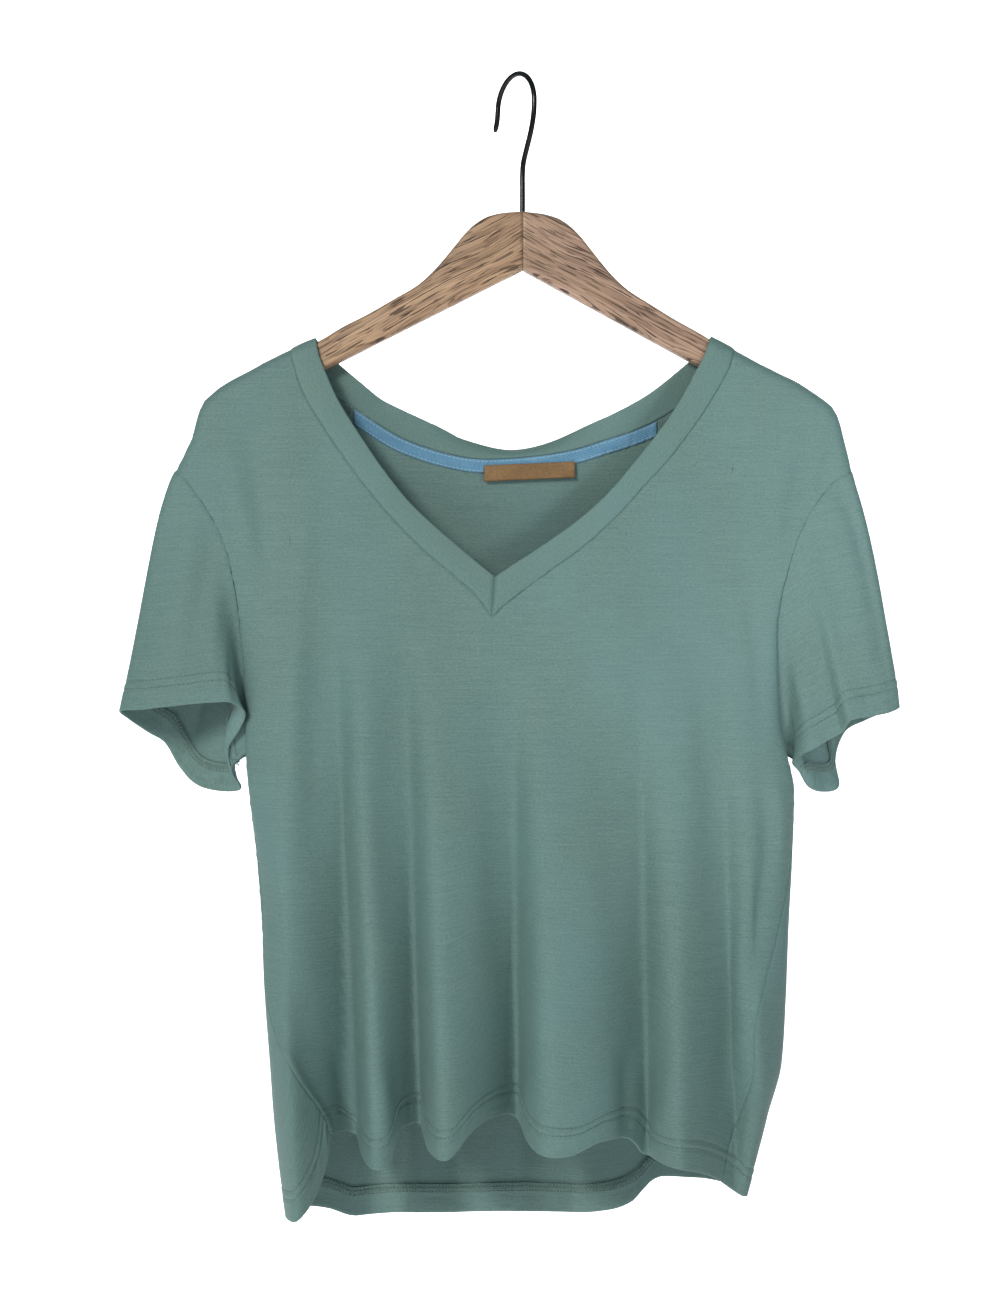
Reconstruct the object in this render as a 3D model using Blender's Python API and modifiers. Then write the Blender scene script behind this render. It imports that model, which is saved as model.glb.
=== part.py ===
"""A V-neck t-shirt hanging on a flat wooden hanger.

Sizes are in millimetres in the tables and turned into metres when the meshes are made.
+Z is up, +X is the viewer's right and the front of the shirt faces -Y.
The garment is worked out round the hanger, whose middle is x = 0, y = 0.
One empty then moves everything so that the inside top of the hook is the origin.
"""
import math

import bmesh
import bpy
import numpy as np
from mathutils import Vector

MM = 0.001

# Cloth
WALL = 1.2              # jersey wall, a little thicker than the real cloth
SEAM_GAP = 0.3          # clear gap between two pieces that are sewn together
FRONT, BACK = -1, 1
HEM_DEPTH = 21.0        # turned-up hem of body and sleeves
FOLD_RADIUS = 0.75      # bend of the cloth at a hem edge
HEM_END_GAP = 0.9       # the turned-up layer ends this much short of the side seam
LAYER_STEP = WALL + SEAM_GAP
BAND_WALL = 1.6         # the neckband is a folded strip
TAPE_WALL = 1.0
TAPE_WIDTH = 9.5
LABEL_WALL = 1.0
LABEL_WIDTH = 11.5
LABEL_LEFT, LABEL_RIGHT = -27.6, 38.2
LABEL_TOP = -278.0
LABEL_TILT = 0.043      # the right end is a little higher
LABEL_FLAP = 7.0        # folded under at each end
TAPE_LEFT, TAPE_RIGHT = -121.0, 97.0
TAPE_DROP = 0.6         # the tape's top edge is just under the neck seam
BAND_WIDTH = 17.0       # the band leans back where less of it is seen at the back neck
OVER_ARM = 8.6          # the cloth bends over the hanger arm with this radius

# Hanger
HANGER_THICKNESS = 14.0
HANGER_EDGE = 4.0       # rounding of the long edges
MITRE_GAP = 0.3
WIRE = 3.9
HOOK_RADIUS = 23.0      # middle of the wire
HOOK_TURN = math.radians(56.0)
HOOK_SHIFT = -8.4       # middle of the bend from the stem, in the hook's own plane
HOOK_DEPTH = 20.0       # length of the stem inside the wood

# Outline of the body: armhole line down to the underarm, then the side of the body.
# Depths are from the hanger's middle plane, to the front or to the back.
# "round" is 0 where the chest runs flat into the sleeve and 1 where the side turns round.
UNDERARM = -486.0
BODY_COLUMNS = ("height", "left", "right", "edge_front", "edge_back", "mid_front", "mid_back", "round")
BODY_ROWS = (
    (-185.0, -252.0, 238.0, 8.6, 8.6, 8.6, 8.6, 0.0),
    (-240.0, -250.0, 236.0, 8.6, 8.6, 13.5, 14.0, 0.0),
    (-282.5, -247.5, 234.5, 8.6, 8.6, 18.0, 18.5, 0.0),
    (-291.0, -239.0, 222.0, 9.5, 10.5, 19.0, 19.5, 0.0),
    (-303.0, -230.0, 211.5, 11.5, 13.0, 20.0, 21.0, 0.0),
    (-315.0, -222.0, 203.5, 13.0, 15.0, 21.5, 22.5, 0.0),
    (-329.0, -214.5, 196.5, 14.0, 17.0, 23.0, 24.0, 0.05),
    (-344.0, -209.0, 191.0, 14.5, 18.0, 24.5, 25.5, 0.1),
    (-358.0, -206.0, 187.0, 14.5, 18.5, 26.0, 27.0, 0.2),
    (-375.0, -202.8, 182.8, 13.5, 18.0, 28.0, 29.0, 0.4),
    (-400.0, -200.0, 180.0, 11.0, 16.0, 30.5, 31.5, 0.6),
    (-430.0, -198.0, 181.0, 7.5, 12.0, 33.5, 34.5, 0.8),
    (-460.0, -197.0, 183.0, 3.5, 6.5, 36.5, 37.0, 0.95),
    (-486.0, -197.0, 188.5, 0.0, 0.0, 38.5, 39.0, 1.0),
    (-512.0, -195.0, 193.5, 0.0, 0.0, 40.5, 41.0, 1.0),
    (-560.0, -189.5, 191.8, 0.0, 0.0, 44.0, 44.0, 1.0),
    (-605.0, -186.0, 189.3, 0.0, 0.0, 47.0, 46.5, 1.0),
    (-660.0, -183.2, 187.0, 0.0, 0.0, 51.0, 49.0, 1.0),
    (-705.0, -180.0, 184.0, 0.0, 0.0, 54.0, 51.0, 1.0),
    (-740.0, -177.5, 174.5, 0.0, 0.0, 56.0, 53.0, 1.0),
    (-781.0, -173.0, 164.0, 0.0, 0.0, 58.0, 55.0, 1.0),
    (-830.0, -166.0, 153.0, 0.0, 0.0, 60.0, 57.0, 1.0),
)
ROUND_POWER = 2.5       # roundness of the ring at the sides
FLAT_POWER = 2.4        # fullness of the chest between the armholes

# How far the side seams swing to the front towards the hem, in degrees round the ring.
# Columns: height, left, right
SEAM_ROWS = (
    (-486.0, 0.0, 0.0),
    (-640.0, 3.0, 3.0),
    (-690.0, 18.0, 10.0),
    (-730.0, 34.0, 14.0),
    (-775.0, 46.0, 17.0),
    (-830.0, 50.0, 20.0),
)

# Soft vertical folds. "out" is how far the fold stands out at the hem, minus for a valley.
# Columns: x_top, x_hem, half_width, out, starts
FRONT_FOLDS = (
    (-185.0, -141.0, 17.0, -12.0, -430.0),
    (-160.0, -114.0, 15.0, 10.0, -470.0),
    (-120.0, -85.0, 15.0, -13.0, -480.0),
    (-80.0, -55.0, 21.0, 8.0, -520.0),
    (-20.0, -18.0, 17.0, -14.0, -540.0),
    (12.0, 17.0, 21.0, 9.0, -540.0),
    (66.0, 60.0, 18.0, -7.0, -560.0),
    (110.0, 94.0, 19.0, 8.0, -560.0),
    (150.0, 128.0, 11.0, -5.0, -620.0),
)
BACK_FOLDS = (
    (-150.0, -128.0, 17.0, 9.0, -500.0),
    (-100.0, -88.0, 17.0, -11.0, -470.0),
    (-55.0, -46.0, 20.0, 9.0, -500.0),
    (-5.0, -4.0, 19.0, -12.0, -460.0),
    (45.0, 40.0, 19.0, 9.0, -500.0),
    (95.0, 84.0, 17.0, -12.0, -480.0),
    (140.0, 122.0, 15.0, 8.0, -540.0),
)
FOLDS_FULL = -800.0     # height where the folds reach their full depth
HEM_LIFT = 0.8          # a valley's hem is pulled up by this much of its depth
HEM_LIFT_BACK = 0.3
WRAP_POWER = 3.5        # how late the back's hem climbs to the front's at a side seam

# Height of the hem edges, before the folds lift them.
# Columns: x, height
FRONT_HEM = ((-170.0, -775.0), (-131.0, -769.0), (-90.0, -758.0), (-55.0, -757.0), (0.0, -751.0),
             (60.0, -760.0), (110.0, -772.0), (142.0, -795.0), (160.0, -801.0))
BACK_HEM = ((-165.0, -820.0), (-120.0, -826.0), (45.0, -826.0), (75.0, -815.0), (100.0, -800.0),
            (130.0, -797.0), (160.0, -803.0))

# Shoulder seams, from the neckband to the tip of the shoulder where the sleeve begins.
# Columns: x, height
SHOULDER_LEFT = ((-165.6, -196.6), (-182.0, -204.6), (-208.0, -218.6), (-220.0, -226.6), (-227.0, -233.2),
                 (-231.2, -241.0), (-233.4, -250.0), (-236.5, -260.5), (-241.5, -271.5), (-247.5, -282.5))
SHOULDER_RIGHT = ((151.0, -196.6), (163.5, -203.6), (183.5, -213.7), (197.8, -220.7), (209.6, -228.8),
                  (219.6, -236.2), (225.3, -244.5), (228.3, -255.5), (231.4, -269.0), (234.5, -282.5))

# Neckline: seam of the front band (outer edge) and its free edge, from the V up to the shoulder.
# Columns: x, height
SEAM_FRONT_LEFT = ((-22.0, -388.0), (-33.0, -372.7), (-48.9, -358.3), (-70.4, -339.9), (-90.9, -319.4),
                   (-110.7, -296.0), (-128.5, -271.8), (-144.3, -248.2), (-155.4, -229.2), (-161.6, -213.0),
                   (-165.6, -196.6))
SEAM_FRONT_RIGHT = ((-22.0, -388.0), (-8.5, -375.9), (19.7, -354.8), (38.7, -341.3), (54.3, -327.9),
                    (70.6, -312.3), (84.8, -296.0), (99.7, -280.3), (114.0, -262.5), (125.5, -246.7),
                    (137.7, -227.4), (146.4, -211.6), (151.0, -196.6))
EDGE_FRONT_LEFT = ((-19.8, -360.2), (-27.4, -354.1), (-44.3, -339.9), (-64.8, -322.2), (-82.1, -305.2),
                   (-99.5, -283.2), (-113.7, -262.5), (-123.0, -248.2), (-132.4, -232.4), (-141.0, -213.0),
                   (-145.4, -201.5), (-147.8, -189.4))
EDGE_FRONT_RIGHT = ((-19.8, -360.2), (-9.8, -353.4), (5.6, -343.5), (27.5, -328.6), (45.9, -314.4),
                    (63.6, -297.4), (79.2, -278.9), (92.4, -262.5), (104.2, -246.7), (114.3, -230.6),
                    (123.0, -214.5), (129.1, -203.0), (134.5, -188.6))
SEAM_BACK = ((-165.6, -196.6), (-158.0, -210.0), (-142.0, -224.5), (-120.5, -237.5), (-92.5, -255.2),
             (-71.6, -264.1), (-49.6, -270.2), (-27.6, -273.0), (6.4, -271.2), (36.0, -266.6), (57.6, -260.2),
             (80.0, -253.0), (97.6, -245.2), (120.0, -231.0), (141.0, -211.5), (151.0, -196.6))
EDGE_BACK = ((-147.8, -189.4), (-140.0, -199.0), (-131.8, -206.5), (-115.3, -220.3), (-98.1, -233.1),
             (-57.1, -252.3), (-42.0, -259.4), (-10.9, -266.5), (17.9, -261.9), (50.3, -248.0),
             (72.6, -238.1), (94.5, -225.3), (119.1, -205.5), (127.0, -198.5), (134.5, -188.6))

# Cuffs: "turn" goes once round, from the top over the front, the underarm fold and the back.
# Columns: turn, x, depth, height
CUFF_LEFT = (
    (0.00, -287.5, 0.0, -453.9), (0.06, -272.0, -12.0, -452.6), (0.14, -246.5, -20.0, -449.8),
    (0.22, -220.0, -25.0, -447.2), (0.285, -203.5, -26.5, -447.8), (0.33, -196.5, -20.5, -454.5),
    (0.38, -201.5, -8.0, -467.0), (0.43, -210.5, 2.0, -481.0), (0.48, -208.5, 12.0, -499.0),
    (0.53, -203.5, 20.0, -510.0), (0.58, -212.0, 27.0, -513.0), (0.65, -234.3, 35.0, -509.7),
    (0.73, -249.7, 40.0, -496.8), (0.80, -260.4, 38.0, -478.4), (0.87, -272.0, 30.0, -470.0),
    (0.94, -283.0, 15.0, -460.5),
)
CUFF_RIGHT = (
    (0.00, 268.9, 0.0, -451.7), (0.05, 261.0, -9.0, -454.5), (0.11, 245.8, -15.0, -457.5),
    (0.17, 231.0, -19.0, -460.5), (0.215, 226.5, -11.0, -468.5), (0.27, 214.0, -12.5, -476.0),
    (0.33, 201.0, -12.0, -483.0), (0.38, 192.8, -4.0, -490.0), (0.44, 198.5, 5.0, -497.5),
    (0.50, 206.0, 13.0, -508.5), (0.57, 218.0, 23.0, -513.0), (0.64, 229.5, 33.0, -509.5),
    (0.70, 229.0, 39.0, -491.0), (0.77, 235.5, 40.0, -471.5), (0.86, 250.3, 33.0, -461.5),
    (0.94, 263.5, 16.0, -454.5),
)

# Hanger outline by distance from its middle, the same on both sides.
# Columns: out, top, bottom, thick
HANGER_ROWS = (
    (0.0, -98.4, -140.0, 1.0), (12.0, -99.4, -146.3, 1.0), (24.0, -102.2, -152.6, 1.0),
    (33.0, -107.4, -157.3, 1.0), (41.0, -114.9, -161.5, 1.0), (48.0, -123.5, -165.2, 1.0),
    (56.0, -133.5, -169.4, 1.0), (65.0, -143.7, -174.1, 1.0), (75.0, -152.6, -179.4, 1.0),
    (90.0, -161.9, -187.3, 1.0), (110.0, -173.8, -197.8, 1.0), (130.0, -184.6, -208.3, 1.0),
    (140.0, -191.0, -213.5, 1.0), (152.0, -197.6, -219.8, 1.0), (172.0, -207.8, -230.3, 1.0),
    (192.0, -218.2, -240.4, 1.0), (206.0, -226.4, -246.6, 0.98), (213.0, -232.0, -248.5, 0.85),
    (217.0, -238.0, -247.5, 0.55),
)
HANGER_TILT = 0.022     # the right arm hangs a little lower

# How far the sleeve swells half way down, by the same turn as its cuff.
# Columns: turn, x, depth, height
BULGE_LEFT = ((0.0, 1.0, 0.0, 0.0), (0.15, 0.0, -5.0, 0.0), (0.30, -5.0, -5.0, 0.0), (0.42, -8.0, -1.0, 0.0),
              (0.50, -9.0, 1.0, 2.0), (0.62, -6.0, 5.0, 0.0), (0.85, 0.0, 6.0, 0.0))
BULGE_RIGHT = ((0.0, 3.0, 0.0, 0.0), (0.15, 0.0, -5.0, 0.0), (0.30, 4.0, -4.0, 0.0), (0.42, 7.0, 0.0, 0.0),
               (0.50, 8.0, 1.0, 2.0), (0.62, 6.0, 5.0, 0.0), (0.85, 0.0, 6.0, 0.0))
SLEEVE_SET_IN = 0.35    # the sleeve's own share of the gap at the armhole
VALLEY_GAP = 1.1        # its edge stands off more where it folds back on the body
VALLEY_REACH = 0.40     # in turns from the underarm, where that begins
VALLEY_FULL = 0.20      # and where it is full
VALLEY_TURN = 1.6       # how far the sleeve heads outwards there
SLEEVE_PULL = 0.5       # how far the sleeve keeps the direction of the panels

# Mesh density
SIDE_COLUMNS = (2.0, 6.0, 13.0, 23.0)   # lengths from a side seam or armhole
SQUARE_FULL = 25.0      # length of armhole in which these turn from the shoulder's line to square
SHOULDER_COLUMNS_EVEN = 4            # the rest of the way to the neck
BEND_ROWS = (0.0, 0.5, 1.9, 4.5, 9.0, 15.0)   # lengths down from the top of the arm
NECK_FRONT_ROWS = 9
NECK_BACK_ROWS = 14
BODY_STEPS = (0.04, 0.10, 0.17, 0.24, 0.31, 0.39, 0.46, 0.53, 0.60, 0.67, 0.74, 0.80, 0.86, 0.93, 1.0)
UNDERARM_STEP = 10      # the row that meets the underarm at the sides
NEAR_EDGE = 45.0        # degrees of the ring that hold them
SIDE_BAND = 0.15        # share of the columns over which that row bends up or down
SPREAD_HEIGHT = -640.0  # the columns are even round the body from this height down
SLEEVE_STEPS = (0.0, 0.01, 0.08, 0.20, 0.36, 0.54, 0.72, 0.87, 1.0)
BAND_STEPS = (0.0, 0.06, 0.36, 0.68, 1.0)
TAPE_COLUMNS = 22
LABEL_COLUMNS = 6
HOOK_POINTS = 46

FINISHES = {
    "jersey": ((0.17, 0.27, 0.235), 0.8, 0.0),
    "tape": ((0.22, 0.42, 0.50), 0.8, 0.0),
    "kraft": ((0.33, 0.17, 0.09), 0.7, 0.0),
    "oak": ((0.38, 0.20, 0.11), 0.55, 0.0),
    "wire": ((0.03, 0.03, 0.035), 0.35, 0.9),
}


def smooth(rows, at, column=1):
    """Read a table's column at the given places along its first column, on a smooth curve."""
    table = np.asarray(rows, dtype=float)
    x, y = table[:, 0], table[:, column]
    if x[0] > x[-1]:
        x, y = x[::-1], y[::-1]
    step = np.diff(x)
    slope = np.diff(y) / step
    tangent = np.zeros_like(y)
    tangent[0], tangent[-1] = slope[0], slope[-1]
    same = slope[:-1] * slope[1:] > 0
    weight_a = 2 * step[1:] + step[:-1]
    weight_b = step[1:] + 2 * step[:-1]
    with np.errstate(divide="ignore", invalid="ignore"):
        mean = (weight_a + weight_b) / (weight_a / slope[:-1] + weight_b / slope[1:])
    tangent[1:-1] = np.where(same, mean, 0.0)
    at = np.clip(np.asarray(at, dtype=float), x[0], x[-1])
    i = np.clip(np.searchsorted(x, at) - 1, 0, len(step) - 1)
    u = (at - x[i]) / step[i]
    return ((2 * u**3 - 3 * u**2 + 1) * y[i] + (u**3 - 2 * u**2 + u) * step[i] * tangent[i]
            + (3 * u**2 - 2 * u**3) * y[i + 1] + (u**3 - u**2) * step[i] * tangent[i + 1])


def ease(u):
    """0 to 1 with flat ends."""
    u = np.clip(u, 0.0, 1.0)
    return u * u * (3 - 2 * u)


def curve_through(points, samples):
    """Points at even lengths along a Catmull-Rom curve through the given ones."""
    p = np.asarray(points, dtype=float)
    p = np.vstack((2 * p[0] - p[1], p, 2 * p[-1] - p[-2]))
    fine = []
    for i in range(1, len(p) - 2):
        for u in np.linspace(0, 1, 12, endpoint=False):
            fine.append(0.5 * (2 * p[i] + (p[i + 1] - p[i - 1]) * u
                               + (2 * p[i - 1] - 5 * p[i] + 4 * p[i + 1] - p[i + 2]) * u * u
                               + (3 * p[i] - p[i - 1] - 3 * p[i + 1] + p[i + 2]) * u**3))
    fine.append(p[-2])
    return even(np.array(fine), samples)


def lengths(line):
    """Length along a line up to each of its points."""
    return np.concatenate(([0.0], np.cumsum(np.linalg.norm(np.diff(line, axis=0), axis=1))))


def even(line, samples):
    """A line read again at even lengths, or at the given fractions of its length."""
    length = lengths(line)
    at = np.linspace(0, 1, samples) if np.isscalar(samples) else np.asarray(samples)
    return np.stack([np.interp(at * length[-1], length, line[:, k]) for k in range(line.shape[1])], axis=1)


SHOULDER_LINES = (curve_through(SHOULDER_LEFT, 60), curve_through(SHOULDER_RIGHT, 60))


def from_shoulder(x, z):
    """Distance from the nearer shoulder seam, seen from the front, carried on past the neck."""
    best = np.full(np.shape(x), 1e6)
    for line in SHOULDER_LINES:
        ahead = line[0] - (line[3] - line[0]) * 3.0
        full = np.vstack((ahead, line))
        for a, b in zip(full[:-1], full[1:]):
            d = b - a
            t = np.clip(((x - a[0]) * d[0] + (z - a[1]) * d[1]) / (d @ d), 0, 1)
            best = np.minimum(best, np.hypot(x - a[0] - t * d[0], z - a[1] - t * d[1]))
    return best


def over_arm(x, z):
    """0 on the shoulder seam, 1 where the cloth hangs clear of the bend over the hanger."""
    d = np.clip(from_shoulder(x, z) / OVER_ARM, 0, 1)
    return np.sqrt(1 - (1 - d) ** 2)


def folds(x, z, table):
    """How far the soft folds push the cloth out at a place."""
    total = np.zeros(np.shape(x))
    for x_top, x_hem, half_width, out, starts in table:
        down = np.clip((starts - z) / (starts - FOLDS_FULL), 0.0, 1.1)
        centre = x_top + (x_hem - x_top) * down
        total = total + out * ease(down) * np.exp(-((x - centre) / half_width) ** 2)
    return total


def ring_shape(z):
    """The named columns of the body's outline at a height."""
    return {name: smooth(BODY_ROWS, z, i) for i, name in enumerate(BODY_COLUMNS) if i}


def ring_point(angle, z):
    """Place across and depth on the body's ring: 180 degrees is left, 270 the front, 360 right."""
    angle, z = np.broadcast_arrays(np.asarray(angle, float), np.asarray(z, float))
    shape = ring_shape(z)
    c, s = np.cos(np.radians(angle)), np.sin(np.radians(angle))
    across = np.sign(c) * np.abs(c) ** (2 / ROUND_POWER)
    full = np.abs(s) ** (2 / ROUND_POWER) * shape["round"]
    full = full + (1 - np.abs(across) ** FLAT_POWER) * (1 - shape["round"])
    x = (shape["left"] + shape["right"]) / 2 + across * (shape["right"] - shape["left"]) / 2
    front = s < 0
    edge = np.where(front, shape["edge_front"], shape["edge_back"])
    mid = np.where(front, shape["mid_front"], shape["mid_back"])
    wave = np.where(front, folds(x, z, FRONT_FOLDS), folds(x, z, BACK_FOLDS))
    depth = edge + (mid - edge + wave) * full
    return x, np.where(front, -depth, depth)


def body_point(angle, z):
    """A point of the body, whose ring is drawn together where it bends over the hanger."""
    x, y = ring_point(angle, z)
    return np.stack((x, y * over_arm(x, z), z + 0 * x), axis=-1)


def angle_of(x, z, side):
    """The ring angle of a place on the front or the back."""
    shape = ring_shape(z)
    across = (x - (shape["left"] + shape["right"]) / 2) / ((shape["right"] - shape["left"]) / 2)
    across = np.clip(across, -1, 1)
    turn = np.degrees(np.arccos(np.sign(across) * np.abs(across) ** (ROUND_POWER / 2)))
    return 360 - turn if side == FRONT else turn


def skin(line, side):
    """Places seen from the front, laid on the front or the back of the body."""
    return body_point(angle_of(line[:, 0], line[:, 1], side), line[:, 1])


def column_angle(fraction, z, side):
    """Ring angle of a column at a height: 0 on the left side seam, 1 on the right one."""
    left = 180 + smooth(SEAM_ROWS, z, 1)
    right = 360 - smooth(SEAM_ROWS, z, 2)
    if side == FRONT:
        return left + (right - left) * fraction
    return left - (left - (right - 360)) * fraction


def fractions_at(x, z, side):
    """The column that starts at a place on the top edge of a panel."""
    angle = angle_of(np.asarray(x), np.asarray(z), side)
    return (angle - 180) / 180 if side == FRONT else (180 - angle) / 180


def even_columns(count, side):
    """Columns round the half ring: close to the side seams first, then even."""
    fine = np.linspace(0, 1, 600)
    z = np.full(600, SPREAD_HEIGHT)
    line = body_point(column_angle(fine, z, side), z)
    length = lengths(line)
    return np.interp(graded(length[-1], count), length, fine)


def graded(length, count):
    """Lengths along a line that begin and end with the close side columns."""
    close = np.array((0.0,) + SIDE_COLUMNS)
    inner = np.linspace(close[-1], length - close[-1], count + 1 - 2 * len(close) + 2)[1:-1]
    return np.concatenate((close, inner, length - close[::-1]))


def front_hem(x):
    return smooth(FRONT_HEM, x) - HEM_LIFT * folds(x, np.full(np.shape(x), FOLDS_FULL), FRONT_FOLDS)


def back_hem(x):
    return smooth(BACK_HEM, x) - HEM_LIFT_BACK * folds(x, np.full(np.shape(x), FOLDS_FULL), BACK_FOLDS)


def hem_height(fraction, side):
    """Height where a column ends. The back's hem climbs to the front's along each side seam."""
    z = np.array([-790.0])
    for _ in range(30):
        angle = column_angle(fraction, z, side)
        x = body_point(angle, z)[:, 0]
        if side == FRONT:
            target = front_hem(x)
        else:
            left, right = column_angle(0.0, z, side), column_angle(1.0, z, side)
            wrap = np.where(angle > 90, (angle - 180) / (left - 180), -angle / -right)
            seam = SEAM_HEMS[0] if angle[0] > 90 else SEAM_HEMS[1]
            target = back_hem(x) + (seam - back_hem(x)) * np.clip(wrap, 0, 1) ** WRAP_POWER
        z = 0.5 * z + 0.5 * target
    return float(z[0])


def top_points(side):
    """Places seen from the front where the columns of a panel start, from left to right."""
    left, right = SHOULDER_LINES
    halves = []
    for line in (left, right):
        close = np.array((0.0,) + SIDE_COLUMNS) / lengths(line)[-1]
        at = np.concatenate((close, np.linspace(close[-1], 1, SHOULDER_COLUMNS_EVEN + 1)[1:]))
        halves.append(even(line, 1 - at))
    if side == FRONT:
        left, right = neck_line(SEAM_FRONT_LEFT, False)[::-1], neck_line(SEAM_FRONT_RIGHT, False)
        neck = np.vstack((left, right[1:]))
    else:
        neck = neck_line(SEAM_BACK, True)
    neck = clear_of_band(neck, halves[0][-2] - halves[0][-1], halves[1][-2] - halves[1][-1])
    return np.vstack((halves[0][:-1], neck, halves[1][::-1][1:]))


def neck_line(points, both_ends):
    """A neckline read where both the panel and the band have their rows."""
    line = curve_through(points, 200)
    return even(line, neck_fractions(line, both_ends))


def clear_of_band(neck, down_left, down_right):
    """Move a neckline off the band by half the gap, and its ends along the shoulder seams."""
    along = unit(np.gradient(neck, axis=0))
    moved = neck + SEAM_GAP / 2 * np.stack((along[:, 1], -along[:, 0]), axis=1)
    moved[0] = neck[0] + SEAM_GAP / 2 * unit(down_left)
    moved[-1] = neck[-1] + SEAM_GAP / 2 * unit(down_right)
    return moved


def neck_fractions(line, both_ends):
    """Fractions of a neckline's length, close together where it bends over the hanger."""
    close = np.array(BEND_ROWS) / lengths(line)[-1]
    if both_ends:
        middle = np.linspace(close[-1], 1 - close[-1], NECK_BACK_ROWS)[1:-1]
        return np.concatenate((close, middle, 1 - close[::-1]))
    return np.concatenate((np.linspace(0, 1 - close[-1], NECK_FRONT_ROWS)[:-1], 1 - close[::-1]))


def panel(side):
    """Grid of points of the front or back, column by column from its top to its hem."""
    top = top_points(side)
    starts = np.clip(fractions_at(top[:, 0], top[:, 1], side), 0, 1)
    ends = even_columns(len(starts) - 1, side)
    close = np.array(BEND_ROWS[:-1])
    steps = np.concatenate(([0.0], BODY_STEPS))
    turning = BODY_STEPS[UNDERARM_STEP - len(close)]
    columns = []
    for (x, z_top), start, end in zip(top, starts, ends):
        hem = hem_height(end, side)
        first = z_top - close[-1]
        near_side = max(0.0, 1 - min(end, 1 - end) / SIDE_BAND)
        level = turning + ((UNDERARM - first) / (hem - first) - turning) * near_side
        rest = first + (hem - first) * np.interp(steps, (0, turning, 1), (0, level, 1))
        z = np.concatenate((z_top - close[:-1], rest))
        fraction = start + (end - start) * ease((z_top - z) / (z_top - SPREAD_HEIGHT))
        columns.append(body_point(column_angle(fraction, z, side), z))
    grid = np.array(columns)
    for column, edge in ((0, "left"), (-1, "right")):
        z = grid[column, :UNDERARM_STEP, 2]
        shape = ring_shape(z)
        depth = shape["edge_front"] if side == FRONT else shape["edge_back"]
        grid[column, :UNDERARM_STEP, 0] = shape[edge]
        grid[column, :UNDERARM_STEP, 1] = side * depth * over_arm(shape[edge], z)
    beside_armhole(grid, side, "left", 0, 1)
    beside_armhole(grid, side, "right", -1, -1)
    return grid


def beside_armhole(grid, side, edge, first, step):
    """Lay the close columns at their distances from an armhole, square to it under the shoulder."""
    line = grid[first, :UNDERARM_STEP + 1][:, [0, 2]]
    along = unit(np.gradient(line, axis=0))
    square = step * np.stack((-along[:, 1], along[:, 0]), axis=1)
    shoulder = unit((grid[first + step, 0] - grid[first, 0])[[0, 2]])
    turned = ease(lengths(line) / SQUARE_FULL)[:, None]
    into = unit(shoulder * (1 - turned) + square * turned)
    for k, distance in enumerate(SIDE_COLUMNS, 1):
        for j in range(1, UNDERARM_STEP + 1):
            x, z = line[j] + into[j] * distance
            grid[first + step * k, j] = along_ring((x - ring_shape(z)[edge]) * step, z, side, edge)


def along_ring(distance, z, side, edge):
    """The point of the body at a length round the ring from its edge."""
    turn = np.linspace(NEAR_EDGE / 1000, NEAR_EDGE, 120)
    angle = 180 - side * turn if edge == "left" else (360 - turn if side == FRONT else turn)
    x, y = ring_point(angle, z)
    length = lengths(np.stack((x, y), axis=1))
    return body_point(np.interp(distance, length, angle), z)


def trim(grid, edges, gap=SEAM_GAP / 2, columns=slice(None), closed=False):
    """Draw the named edges of a grid in, square to the edge, so that sewn pieces keep their gap."""
    grid = grid.copy()
    places = {
        "top": (np.s_[columns, 0], np.s_[columns, 1]),
        "left": (np.s_[0], np.s_[1]),
        "right": (np.s_[-1], np.s_[-2]),
    }
    for edge in edges:
        outer, inner = places[edge]
        line = grid[outer]
        if closed:
            along = unit(np.roll(line, -1, axis=0) - np.roll(line, 1, axis=0))
        else:
            along = unit(np.gradient(line, axis=0))
        into = grid[inner] - line
        into = into - along * np.sum(into * along, axis=-1, keepdims=True)
        grid[outer] = line + gap * unit(into)
    return grid


def normals(grid, closed=False):
    """Unit normals of a grid, whose first axis runs along the hem and second one down."""
    if closed:
        along = np.roll(grid, -1, axis=0) - np.roll(grid, 1, axis=0)
    else:
        along = np.gradient(grid, axis=0)
    n = np.cross(along, np.gradient(grid, axis=1))
    return n / np.linalg.norm(n, axis=-1, keepdims=True)


def turn_up(grid, inward, closed=False):
    """Add a turned-up hem to a grid: round the bend, then up the inside."""
    n = normals(grid, closed) * inward
    down = grid[:, -1] - grid[:, -2]
    down = down / np.linalg.norm(down, axis=-1, keepdims=True)
    rows = []
    for turn in (math.radians(50), math.radians(90), math.radians(130)):
        rows.append(grid[:, -1] + FOLD_RADIUS * (n[:, -1] * (1 - math.cos(turn)) + down * math.sin(turn)))
    for up in (0.0, 0.5 * HEM_DEPTH, HEM_DEPTH):
        rows.append(one_layer_in(grid, n, up))
    inner = np.stack(rows, axis=1)
    if not closed:
        inner = trim(inner, ("left", "right"), HEM_END_GAP)
    return np.concatenate((grid, inner), axis=1)


def one_layer_in(grid, n, up):
    """Points one layer inside a grid, at a length up from its last row."""
    result = []
    for line, facing in zip(grid[:, ::-1], n[:, ::-1]):
        length = lengths(line)
        place = np.array([np.interp(up, length, line[:, k]) for k in range(3)])
        direction = np.array([np.interp(up, length, facing[:, k]) for k in range(3)])
        result.append(place + direction * LAYER_STEP)
    return np.array(result)


def finish(name, data, material):
    obj = bpy.data.objects.new(name, data)
    data.materials.append(MATERIALS[material])
    PARTS.objects.link(obj)
    obj.parent = FRAME
    return obj


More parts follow.
